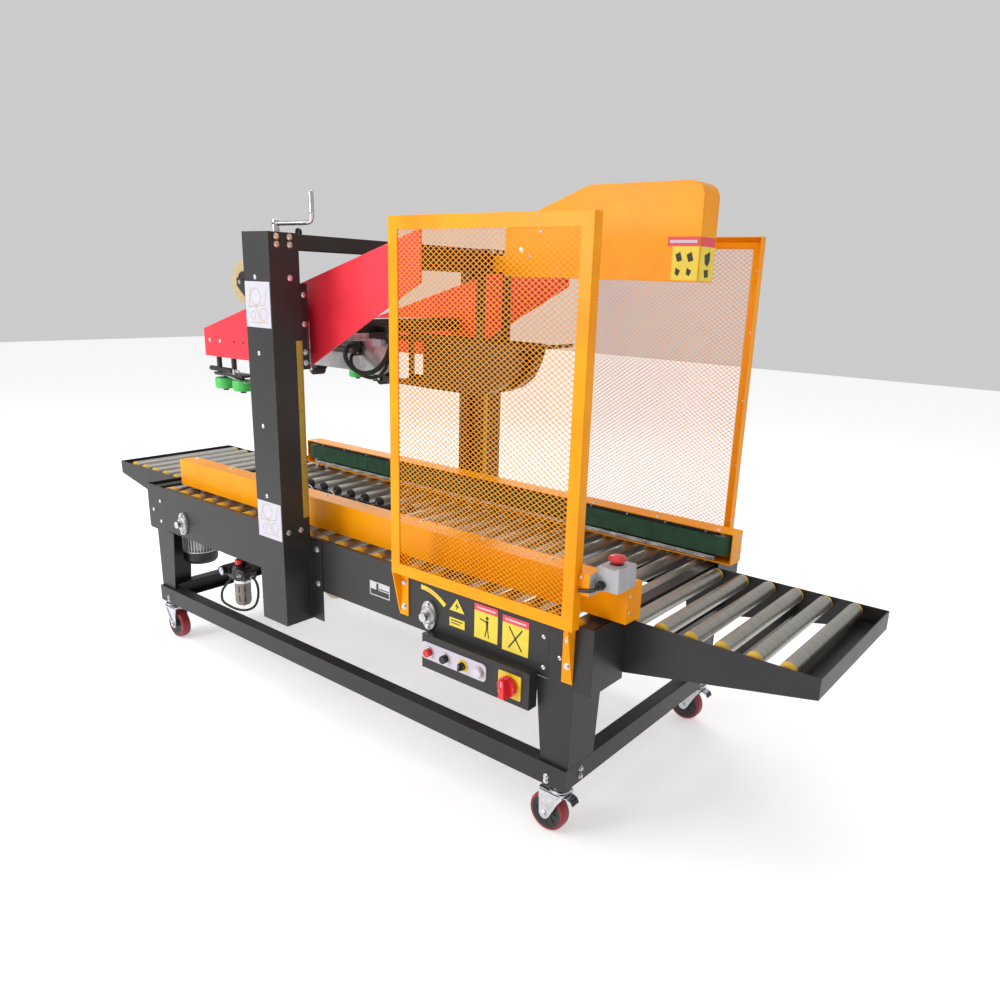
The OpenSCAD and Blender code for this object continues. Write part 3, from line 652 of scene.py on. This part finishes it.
# ------------------------------------------------------------ controls
g = Mesh()
g.use("plate")
pts = []
for cx0, a0 in ((652, -90), (652, 0), (466, 90), (466, 180)):
    pass
def rrect(x0, x1, z0, z1, r, n=6):
    out = []
    for cx0, cz0, a0 in ((x1 - r, z0 + r, -90), (x1 - r, z1 - r, 0), (x0 + r, z1 - r, 90), (x0 + r, z0 + r, 180)):
        for k in range(n + 1):
            a = radians(a0 + 90 * k / n)
            out.append((cx0 + r * cos(a), cz0 + r * sin(a)))
    return out
g.prism(rrect(450, 667, 350, 396, 12), "Y", -408.6, -406)
g.use("yellowp").prism(rrect(706, 774, 338, 400, 4), "Y", -408.8, -406)
g.use("zinc")
for x, z in ((711, 343), (769, 343), (711, 395), (769, 395)):
    g.dome((x, -408.8, z), (0, -1, 0), 2.6, 1.4)
# bezels
for x, k in ((479, "chrome"), (535, "chrome"), (594, "yellowp"), (646, "chrome")):
    g.use(k).loop_lathe((x, 0, 372), "Y", [(-408.5, 10.6), (-408.5, 15.4), (-410.5, 15.4), (-412.5, 14.6), (-412.5, 10.6)], 40)
g.use("lamp").lathe((646, 0, 372), (0, -1, 0), [(408, 0), (408, 13.6), (416, 13.4), (419, 11.5), (420, 7), (420, 0)], 40)
g.obj("button_plate", "frame", bevel=0.5, replaces=["control_plates"], slot="pale_plate")

def push(name, body, node, x, key):
    b = Mesh().use(key)
    b.lathe((x, 0, 372), (0, -1, 0), [(395, 0), (395, 9.9), (416, 9.9), (416, 10.3), (422, 10.3), (423.6, 9.4), (424, 7.6), (423.2, 5.5), (423, 0)], 40)
    b.obj(name, body, replaces=[node])
push("stop_button_cap", "stop_push", "stop_button", 479, "redp")
push("start_button_cap", "start_push", "start_button", 535, "blackp")
b = Mesh().use("blackp")
b.lathe((594, 0, 372), (0, -1, 0), [(395, 0), (395, 9.9), (414, 9.9), (414, 10.4), (420, 10.0), (421.5, 9), (421.5, 0)], 40)
b.prism(rrect(590.6, 597.4, 362.5, 381.5, 3), "Y", -427.5, -421)
b.use("label_w").box(593.4, 594.6, -427.9, -427.4, 373, 380)
b.obj("selector_knob", "selector", bevel=0.6, replaces=["selector_switch"], slot="black_plastic")

b = Mesh().use("redp")
pts = []
for k in range(72):
    a = 2 * pi * k / 72
    r = 26 - 1.1 * (0.5 + 0.5 * cos(12 * a))
    pts.append((740 + r * cos(a), 369 + r * sin(a)))
b.prism(pts, "Y", -423.5, -411)
b.lathe((740, 0, 369), (0, -1, 0), [(390, 0), (390, 7.9), (412, 7.9), (412, 0)], 32)
b.prism([(730, 345), (750, 345), (748, 352), (747, 386), (745, 392), (735, 392), (733, 386), (732, 352)], "Y", -439.5, -423)
b.use("label_w").box(738.8, 741.2, -439.9, -439.3, 376, 389)
b.obj("isolator_handle", "isolator", bevel=1.0, segs=3, replaces=["isolator_knob"], slot="red_plastic")

# emergency stop
b = Mesh().use("redp")
b.lathe((962, -329, 0), "Z", [(690, 0), (690, 8.9), (714, 8.9), (714, 13), (715, 19), (717, 20), (721, 19.6), (724, 16.5), (725.6, 10), (726, 0)], 44)
b.obj("estop_mushroom", "estop_push", replaces=["estop_button"], slot="red_plastic")
g = Mesh()
g.use("grey").loop_lathe((962, -329, 0), "Z", [(704, 9.4), (704, 22), (705.4, 22), (706.2, 20), (706.2, 9.4)], 40)
g.use("blackp").loop_lathe((962, -329, 0), "Z", [(706, 9.4), (706, 15), (707.6, 14.6), (707.6, 9.4)], 40)
g.use("zinc")
for x in (941, 984):
    for y in (-359, -299):
        g.dome((x, y, 704), (0, 0, 1), 3, 1.6)
# gland and a short conduit stub on the outfeed side, with the bolts of the mounting bracket
g.use("blackp").cyl((950, 0, 664), "Y", -374, -365.2, 11, 1, 6)
g.cyl((950, 0, 664), "Y", -384, -373, 8, 2, 24)
g.tube([(950, -384, 664), (948, -390, 660), (938, -393, 655), (922, -394.5, 652), (912, -395, 650)], 4.5, 12)
g.use("zinc")
for z in (648, 682):
    g.hexbolt((914, -392, z), (0, -1, 0), 4.5, 3, False)
g.obj("estop_trim", "frame", bevel=0.6, slot="yellow_plastic")

# ------------------------------------------------------------ air unit
g = Mesh()
g.use("blackp")
# regulator body between two necks, with a flared bonnet under the knob
g.lathe((-455, -343, 0), "Z", [(318, 0), (318, 25), (322, 27), (334, 27), (338, 24.5), (352, 24.5), (360, 19), (363.5, 16), (363.5, 0)], 40)
g.prism(rrect(-520, -476, 324, 354, 9), "Y", -366, -322)
g.prism(rrect(-440, -394, 322, 358, 10), "Y", -366, -320)
g.box(-478, -432, -366, -320, 320, 334)
for k in range(5):
    g.box(-424 + 5 * k, -421.5 + 5 * k, -367.4, -366, 328, 352)
g.use("charcoal").box(-490, -420, -328, -320, 358, 403.8)
g.box(-490, -420, -371.8, -320, 401, 403.8)
g.use("bowl")
c = (-440, -343, 0)
g.lathe(c, "Z", [(318, 0), (318, 26), (310, 26), (308, 25), (240, 25), (233, 22), (230, 14), (230, 0)], 44)
g.use("zinc").lathe(c, "Z", [(318.5, 0), (318.5, 27.2), (309, 27.6), (308, 26), (308, 0)], 44)
g.use("ink")
for a in (-118, -62, -20, 62, 160):
    g.xf = Matrix.Translation(Vector((-440, -343, 0))) @ Matrix.Rotation(radians(a), 4, "Z")
    for z0, z1 in ((246, 268), (278, 300)):
        g.box(24.3, 25.4, -2.2, 2.2, z0, z1)
g.xf = None
# gauge on the front
gc = (-503, 0, 339)
g.use("blackp").lathe(gc, (0, -1, 0), [(364, 0), (364, 6), (369, 6), (369, 16), (380.4, 16), (381, 15), (381, 14), (378.6, 13.8), (378.6, 0)], 44)
g.use("label_w").lathe(gc, (0, -1, 0), [(377, 0), (377, 13.9), (379.0, 13.9), (379.0, 0)], 40)
g.use("ink")
for k in range(9):
    g.xf = Matrix.Translation(Vector(gc)) @ Matrix.Rotation(radians(-120 + 30 * k), 4, "Y")
    g.box(-0.4, 0.4, -379.4, -378.8, 9.5, 12.5)
g.xf = Matrix.Translation(Vector(gc)) @ Matrix.Rotation(radians(35), 4, "Y")
g.box(-0.5, 0.5, -379.8, -379.2, -3, 10)
g.xf = None
# drain cock and a bleed valve
g.use("zinc").lathe((-440, -343, 0), "Z", [(223, 0), (223, 4), (231, 4), (231, 0)], 16)
g.cyl((-404, 0, 345), "Y", -377, -366, 6, 1, 6)
g.use("chrome").lathe((-404, 0, 345), (0, -1, 0), [(376, 0), (376, 3.4), (384, 3.4), (385.5, 2), (385.5, 0)], 20)
g.use("zinc").cyl((-508, -343, 0), "Z", 312, 325, 6.5, 1, 6)
g.cyl((0, -343, 336), "X", -395, -384, 6.5, 1, 6)
g.obj("air_unit_body", "frame", bevel=1.0, replaces=["frl_unit"], slot="black_plastic")
b = Mesh().use("redp")
pts = []
for k in range(60):
    a = 2 * pi * k / 60
    r = 13 - 0.7 * (0.5 + 0.5 * cos(15 * a))
    pts.append((-455 + r * cos(a), -343 + r * sin(a)))
b.prism(pts, "Z", 366, 380)
b.lathe((-455, -343, 0), "Z", [(345, 0), (345, 8.9), (366, 8.9), (366, 12), (380, 12), (382, 10.5), (382, 0)], 36)
b.obj("regulator_cap", "regulator", bevel=0.6, replaces=["regulator_knob"], slot="red_plastic")

# hose: the same control points as the CAD part
loop = [(-508, -343, 318), (-512, -343, 296), (-540, -343, 270), (-566, -343, 240), (-566, -344, 208),
        (-530, -345, 200), (-475, -346, 201), (-420, -346, 214), (-376, -345, 240), (-356, -344, 276),
        (-356, -343, 312), (-372, -343, 333), (-394, -343, 336)]
def crv(P, i, t):
    n = len(P) - 1
    a, b, c, d = (Vector(P[max(i - 1, 0)]), Vector(P[i]), Vector(P[min(i + 1, n)]), Vector(P[min(i + 2, n)]))
    return 0.5 * (2 * b + t * (c - a) + t * t * (2 * a - 5 * b + 4 * c - d) + t ** 3 * (3 * b - a - 3 * c + d))
path = [crv(loop, i, t) for i in range(len(loop) - 1) for t in (0, 1 / 3, 2 / 3)] + [Vector(loop[-1])]
h = Mesh().use("rubber").tube(path, 4, 16)
hose = h.obj("air_hose_loop", "frame", replaces=["air_hose"])

# ------------------------------------------------------------ side belt drives
def drive(side, s):
    body = side + "_side_drive"
    g = Mesh().use("belt")
    # belt: outline round the two pulleys, with ribs on the face that grips the carton
    def loopline(r, n=18):
        out = []
        for k in range(n + 1):
            a = radians(90 + 180 * k / n)
            out.append((-800 + r * cos(a), s * 266 + r * sin(a)))
        for k in range(n + 1):
            a = radians(-90 + 180 * k / n)
            out.append((940 + r * cos(a), s * 266 + r * sin(a)))
        return out
    g.ring(loopline(31.0), loopline(28.3), "Z", 584, 637)
    yi = s * 235
    for k in range(246):
        x = -797 + 7.05 * k
        g.box(x, x + 3.6, min(yi, yi - s * 1.2), max(yi, yi - s * 1.2), 585, 636)
    # pulleys
    g.use("cast")
    for x in (-800, 940):
        g.lathe((x, s * 266, 0), "Z", [(583, 0), (583, 27.9), (638, 27.9), (638, 24), (636, 12), (640, 10), (640, 0)], 40)
    # beam, wear strips and bolts
    g.use("black").box(-775, 915, min(s * 289, s * 243), max(s * 289, s * 243), 588, 634)
    g.box(-790, 930, min(s * 262, s * 241.5), max(s * 262, s * 241.5), 637.5, 645.5)
    g.use("zinc").box(-790, 930, min(s * 262, s * 241.5), max(s * 262, s * 241.5), 566, 577)
    for k in range(14):
        g.hexbolt((-740 + 126 * k, s * 241.5, 641.5), (0, -s, 0), 3.6, 2.4, False)
    # gear head and motor hanging through the rollers
    c = (-812.5, s * 268, 0)
    g.use("steel").cyl(c, "Z", 500, 583, 11.8, 1, 28)
    g.use("cast").lathe(c, "Z", [(446, 0), (446, 52), (449, 57), (492, 57), (498, 50), (500, 30), (503, 22), (503, 0)], 44)
    pts = []
    for k in range(36):
        a = 2 * pi * k / 36
        for da, r in ((-0.034, 49), (-0.026, 59), (0.026, 59), (0.034, 49)):
            pts.append((c[0] + r * cos(a + da), c[1] + r * sin(a + da)))
    g.prism(pts, "Z", 322, 444)
    g.lathe(c, "Z", [(440, 0), (440, 59), (446, 59.5), (448, 56), (448, 0)], 44)
    g.lathe(c, "Z", [(316, 0), (316, 59), (322, 59.5), (324, 56), (324, 0)], 44)
    g.use("blackp").lathe(c, "Z", [(275, 0), (275, 44), (277, 52), (284, 57.5), (294, 59.6), (317, 59.9), (319, 58), (319, 0)], 44)
    g.box(c[0] + 40, c[0] + 59, min(s * 246, s * 290), max(s * 246, s * 290), 380, 428)
    # nut blocks and posts
    g.use("steel")
    for x, p0, p1 in ((-717, -745, -725), (447, 450, 470)):
        g.ring([(x - 18, 437), (x + 18, 437), (x + 18, 473), (x - 18, 473)],
               [(x - 9.5, 445.5), (x + 9.5, 445.5), (x + 9.5, 464.5), (x - 9.5, 464.5)], "Y", *sorted((s * 246, s * 290)))
        g.box(p0, p1, *sorted((s * 250, s * 286)), 474, 567)
        g.box(min(p0, x - 18), max(p1, x + 18), *sorted((s * 250, s * 286)), 473, 484)
    g.obj(side + "_belt_unit", body, bevel=0.0, replaces=[side + "_belt_drive"], slot="green_belt")
    t = Mesh().use("zinc")
    for x in (-805, -599, -340, -100, 68, 300, 520, 740, 930):
        t.dome((x, s * 256, 649), (0, 0, 1), 6.5, 3.4)
    for z in (585, 625):
        t.dome((979, s * 290, z), (1, 0, 0), 4, 2.4)
    t.obj(side + "_cover_screws", body, slot="bright_steel")
drive("near", -1)
drive("far", 1)

# ------------------------------------------------------------ head details
g = Mesh()
for s in (-1, 1):
    g.use("zinc")
    for x in (-581, -525):
        g.dome((x, s * 312, 1074), (0, s, 0), 6, 3.6)
    g.use("ink")
    for x in (-450, -403):
        g.lathe((x, s * 312, 1076), (0, s, 0), [(0, 0), (0, 4.5), (0.5, 4.5), (0.5, 0)], 20)
    g.use("zinc")
    for z in (1050, 1078, 1152, 1228):
        g.hexbolt((-42, s * 359, z), (1, 0, 0), 6, 4)
    g.box(-42, -38.5, *sorted((s * 348, s * 345)), 1046, 1160)
g.obj("head_plate_fixings", "head", slot="bright_steel")

# kicker housing fixings and blank label
g = Mesh().use("zinc")
for x, z in ((501, 1403), (469, 1345)):
    g.dome((x, -38, z), (0, -1, 0), 6, 3.4)
    g.dome((x, 38, z), (0, 1, 0), 6, 3.4)
g.use("label_y").box(876, 942, -38.8, -38, 1297, 1390)
g.use("label_r").box(862, 942, -39.0, -38, 1370, 1390)
g.use("label_w").box(868, 936, -39.2, -38, 1377, 1383)
g.use("ink")
for x0 in (884, 912):
    g.prism([(x0, 1352), (x0 + 12, 1358), (x0 + 18, 1340), (x0 + 6, 1336)], "Y", -39.1, -38)
    g.prism([(x0 + 3, 1324), (x0 + 15, 1318), (x0 + 10, 1306), (x0 + 2, 1310)], "Y", -39.1, -38)
g.use("label_y").box(943, 943.7, -34, 34, 1297, 1390)
g.use("label_r").box(943, 943.9, -34, 34, 1370, 1390)
g.use("ink")
g.prism([(-14, 1352), (12, 1360), (14, 1340), (4, 1328), (-10, 1334)], "X", 943, 944)
g.prism([(-12, 1320), (8, 1322), (12, 1306), (-6, 1303)], "X", 943, 944)
g.obj("kicker_housing_trim", "head", slot="bright_steel")

def wheel(name, body, node, x, y):
    w = Mesh().use("green")
    w.loop_lathe((x, y, 0), "Z", [(923, 20), (923, 29), (924.5, 31.2), (928, 32), (951, 32), (954.5, 31.2), (956, 29), (956, 20)], 48)
    w.use("blackp").loop_lathe((x, y, 0), "Z", [(924, 6.3), (924, 20.2), (926, 20.2), (926, 12), (953, 12), (953, 20.2), (955, 20.2), (955, 6.3)], 40)
    for k in range(6):
        w.xf = Matrix.Translation(Vector((x, y, 0))) @ Matrix.Rotation(2 * pi * k / 6, 4, "Z")
        w.box(11, 20.5, -1.5, 1.5, 927, 952)
    w.xf = None
    w.obj(name, body, replaces=[node], slot="green_wheel")
for a, s in (("near", -1), ("far", 1)):
    for b, x in (("front", -472), ("rear", -567)):
        wheel(f"{a}_{b}_green_wheel", f"{a}_{b}_press", f"{a}_{b}_press_wheel", x, s * 275)

# tape rolls
def roll(name, body, node, x, z):
    r = Mesh().use("tape")
    r.loop_lathe((x, 0, z), "Y", [(-24, 40), (-24, 71.4), (-23.4, 72), (23.4, 72), (24, 71.4), (24, 40)], 72)
    r.use("card").loop_lathe((x, 0, z), "Y", [(-24.6, 36.5), (-24.6, 40.2), (24.6, 40.2), (24.6, 36.5)], 56)
    r.use("blackp")
    r.loop_lathe((x, 0, z), "Y", [(-22, 12), (-22, 36.8), (-18, 36.8), (-18, 12)], 48)
    r.loop_lathe((x, 0, z), "Y", [(18, 12), (18, 36.8), (22, 36.8), (22, 12)], 48)
    r.lathe((x, 0, z), "Y", [(-30, 0), (-30, 11), (-29, 12), (29, 12), (30, 11), (30, 0)], 32)
    for k in range(3):
        r.xf = Matrix.Translation(Vector((x, 0, z))) @ Matrix.Rotation(2 * pi * k / 3, 4, "Y")
        r.box(33, 39, -17, 17, -5, 5)
    r.xf = None
    r.use("zinc").cyl((x, 0, z), "Y", -43.8, 43.8, 7.8, 0.8, 28)
    r.obj(name, body, replaces=[node], slot="tape")
roll("upper_tape", "upper_roll", "top_tape_roll", -812, 1248)
roll("lower_tape", "lower_roll", "bottom_tape_roll", -385, 245)

# swinging arms
def swing(name, body, node, px, pz, rx, rz, metal):
    a = Mesh().use(metal)
    d = Vector((rx - px, rz - pz)); L = d.length; d.normalize(); n = Vector((-d.y, d.x))
    def outline(w0, w1):
        pts = []
        for k in range(13):
            t = radians(90 + 180 * k / 12)
            pts.append((px + w0 * (d.x * cos(t) + n.x * sin(t)), pz + w0 * (d.y * cos(t) + n.y * sin(t))))
        for k in range(13):
            t = radians(-90 + 180 * k / 12)
            pts.append((rx + w1 * (d.x * cos(t) + n.x * sin(t)), rz + w1 * (d.y * cos(t) + n.y * sin(t))))
        return pts
    for s in (-1, 1):
        a.prism(outline(11, 8.5), "Y", *sorted((s * 22, s * 26)))
    a.use("zinc").cyl((px, 0, pz), "Y", -40, 40, 6, 0.6, 24)
    a.cyl((rx, 0, rz), "Y", -27, 27, 4.8, 0.6, 20)
    for s in (-1, 1):
        a.lathe((px, s * 26, pz), (0, s, 0), [(0, 0), (0, 9), (3, 8.4), (3, 0)], 24)
    a.use("rubber").lathe((rx, 0, rz), "Y", [(-20.5, 0), (-20.5, 17.4), (-19.6, 18.9), (19.6, 18.9), (20.5, 17.4), (20.5, 0)], 40)
    a.use(metal).cyl(((px + rx) / 2, 0, (pz + rz) / 2), "Y", -22, 22, 5, 0.6, 20)
    a.obj(name, body, bevel=0.4, replaces=[node])
swing("upper_apply_roller_arm", "upper_apply", "top_apply_arm", -190, 1040, -120, 978, "black")
swing("upper_wipe_roller_arm", "upper_wipe", "top_wipe_arm", -380, 1040, -450, 978, "black")
swing("lower_apply_roller_arm", "lower_apply", "bottom_apply_arm", -200, 470, -120, 548, "chrome")
swing("lower_wipe_roller_arm", "lower_wipe", "bottom_wipe_arm", -510, 470, -590, 548, "chrome")

# cartridge fittings: springs, guide rollers, knife block
def cartridge(name, body, px, pz, up, x0, x1):
    c = Mesh()
    c.use("redp").box(x0 + 90, x0 + 200, -20, 20, pz + up * 6 - 5, pz + up * 6 + 5)
    c.use("blackp")
    for x in (x0 + 60, x1 - 60, (x0 + x1) / 2 + 35):
        c.cyl((x, 0, pz - up * 24), "Y", -36, 36, 12, 1, 28)
    c.use("chrome")
    for s in (-1, 1):
        pts = []
        for k in range(140):
            t = k / 139
            a = 2 * pi * 16 * t
            pts.append((x0 + 110 + (x1 - x0 - 220) * t, s * 31.5 + 4 * cos(a), pz - up * 42 + 4 * sin(a)))
        c.tube(pts, 0.9, 6)
    c.obj(name, body, slot="plain_steel")
cartridge("upper_cartridge_fittings", "head", 0, 1040, -1, -450, -120)
cartridge("lower_cartridge_fittings", "frame", 0, 460, 1, -600, -110)

# chrome stay wires and black rods of the lower cartridge
g = Mesh().use("chrome")
for x0 in (-560, -440):
    g.tube([(x0, -30, 548), (x0 + 8, -30, 545), (x0 + 60, -30, 500), (x0 + 66, -30, 470)], 3, 10)
    g.tube([(x0, 30, 548), (x0 + 8, 30, 545), (x0 + 60, 30, 500), (x0 + 66, 30, 470)], 3, 10)
g.use("black")
for x in (-540, -420, -330, -250):
    g.cyl((x, 0, 520), "Y", -60, 60, 11, 1, 28)
g.use("redp")
for x in (-300, -230):
    g.prism([(x - 30, 500), (x + 24, 500), (x + 30, 535), (x - 10, 545)], "Y", 10, 14)
g.obj("lower_cartridge_rods", "frame", bevel=0.3, slot="bright_steel")

# cylinder, valve block and hoses beside the upper cartridge
g = Mesh().use("blackp")
g.cyl((0, -66, 1070), "X", -330, -170, 20, 2, 36)
g.use("black").box(-345, -328, -88, -44, 1048, 1092)
g.box(-172, -155, -88, -44, 1048, 1092)
g.use("zinc")
for x in (-345, -155):
    for y in (-80, -52):
        for z in (1056, 1084):
            g.hexbolt((x, y, z), (-1 if x < -200 else 1, 0, 0), 3.4, 2.4, False)
g.use("chrome").cyl((0, -66, 1070), "X", -372, -345, 5, 0.8, 20)
g.use("label_w").box(-86, -48, -80, -52, 1082, 1104)
g.use("blackp").box(-96, -30, -84, -48, 1104, 1123)
g.use("steel").prism([(-150, 1096), (-30, 1096), (-30, 1010), (-62, 996), (-104, 996), (-150, 1040)], "Y", -66, -62.2)
def hose_run(pl, r):
    pl = [Vector(p) for p in pl]
    pth = [crv(pl, i, t) for i in range(len(pl) - 1) for t in (0, 0.2, 0.4, 0.6, 0.8)] + [pl[-1]]
    g.tube(pth, r, 14)
g.use("rubber")
hose_run([(-150, -70, 1084), (-172, -100, 1076), (-160, -122, 1046), (-128, -126, 1018), (-82, -124, 1004), (-34, -120, 1014), (2, -112, 1046), (12, -96, 1096), (-8, -84, 1112), (-32, -74, 1114)], 7)
hose_run([(-150, -60, 1058), (-168, -88, 1050), (-150, -106, 1024), (-108, -110, 998), (-66, -108, 992), (-26, -104, 1002), (-2, -98, 1036), (0, -88, 1084), (-30, -78, 1108)], 5)
g.obj("head_air_parts", "head", bevel=0.8, slot="black_plastic")
# grips and scraper plates over the press wheels
g = Mesh()
for s in (-1, 1):
    g.use("rubber").cyl((0, s * 300, 985), "X", -606, -486, 7.5, 2.5, 24)
    g.use("zinc").cyl((0, s * 300, 985), "X", -486, -452, 4, 0.5, 16)
    g.box(-478, -470, *sorted((s * 294, s * 306)), 974, 990)
    g.use("cast").prism([(-604, 960), (-600, 964), (-540, 968), (-436, 952), (-436, 948), (-540, 963)], "Y", *sorted((s * 262, s * 290)))
    g.use("zinc")
    for x in (-567, -472):
        g.hexbolt((x, s * 275, 974), (0, 0, 1), 6, 4)
g.obj("press_wheel_grips", "head", bevel=0.8, slot="black_rubber")

# crank
g = Mesh().use("chrome")
c = (-88, -402, 0)
g.lathe(c, "Z", [(1382.5, 0), (1382.5, 9.6), (1392, 9.6), (1392, 10), (1414, 10), (1416, 8.5), (1416, 0)], 32)
arc = [(-78, -402, 1405), (30, -402, 1405), (46, -402, 1405.6), (56, -402, 1409), (61, -402, 1416), (62, -402, 1426), (62, -402, 1440)]
g.tube([(-84, -402, 1405)] + arc, 5.8, 16)
g.use("chrome").lathe((62, -402, 0), "Z", [(1424, 0), (1424, 6.0), (1430, 6.9), (1472, 6.9), (1477, 6.2), (1479.5, 4), (1480, 0)], 28)
g.use("zinc").hexbolt((-88, -412, 1405), (0, -1, 0), 4, 3, False)
g.obj("crank_handle", "crank_and_near_screw", replaces=["height_crank"], slot="bright_steel")

# ------------------------------------------------------------ stage and lights
def stage():
    v = [(-14, -9, 0), (14, -9, 0), (14, 12, 0), (-14, 12, 0), (-14, 12, 9), (14, 12, 9)]
    me = bpy.data.meshes.new("studio_floor")
    me.from_pydata(v[:4], [], [(0, 1, 2, 3)])
    o = bpy.data.objects.new("studio_floor", me)
    bpy.context.scene.collection.objects.link(o)
    o.location.z = -0.0005
    m = material("pale_floor", (0.90, 0.90, 0.90), 0.8, var=0.01, bump=0.0)
    pb = m.node_tree.nodes["Principled BSDF"]
    pb.inputs["Emission Color"].default_value = (1, 1, 1, 1)
    pb.inputs["Emission Strength"].default_value = 0.38
    pb.inputs["Specular IOR Level"].default_value = 0.1
    me.materials.append(m)
stage()

def area(name, loc, target, size, power, size_y=None):
    l = bpy.data.lights.new(name, "AREA")
    l.energy = power
    l.size = size
    if size_y:
        l.shape = "RECTANGLE"
        l.size_y = size_y
    o = bpy.data.objects.new(name, l)
    bpy.context.scene.collection.objects.link(o)
    o.location = loc
    d = Vector(target) - Vector(loc)
    o.rotation_euler = d.to_track_quat("-Z", "Y").to_euler()
    return o
area("flash", (-1.5, -3.9, 1.75), (0.1, 0, 0.75), 1.2, 52, 1.2)
area("key", (-3.4, -3.6, 3.4), (0, 0, 0.6), 2.2, 66, 2.0)
area("top", (-0.6, 0.2, 4.8), (0, 0, 0.6), 5.0, 70, 4.0)
area("back", (-3.0, 3.4, 2.6), (0, 0, 0.8), 2.5, 30, 2.0)

w = bpy.data.worlds.new("studio")
bpy.context.scene.world = w
w.use_nodes = True
bg = w.node_tree.nodes["Background"]
bg.inputs["Color"].default_value = (1.0, 1.0, 1.0, 1)
bg.inputs["Strength"].default_value = 0.60
bpy.context.scene.view_settings.view_transform = "Standard"
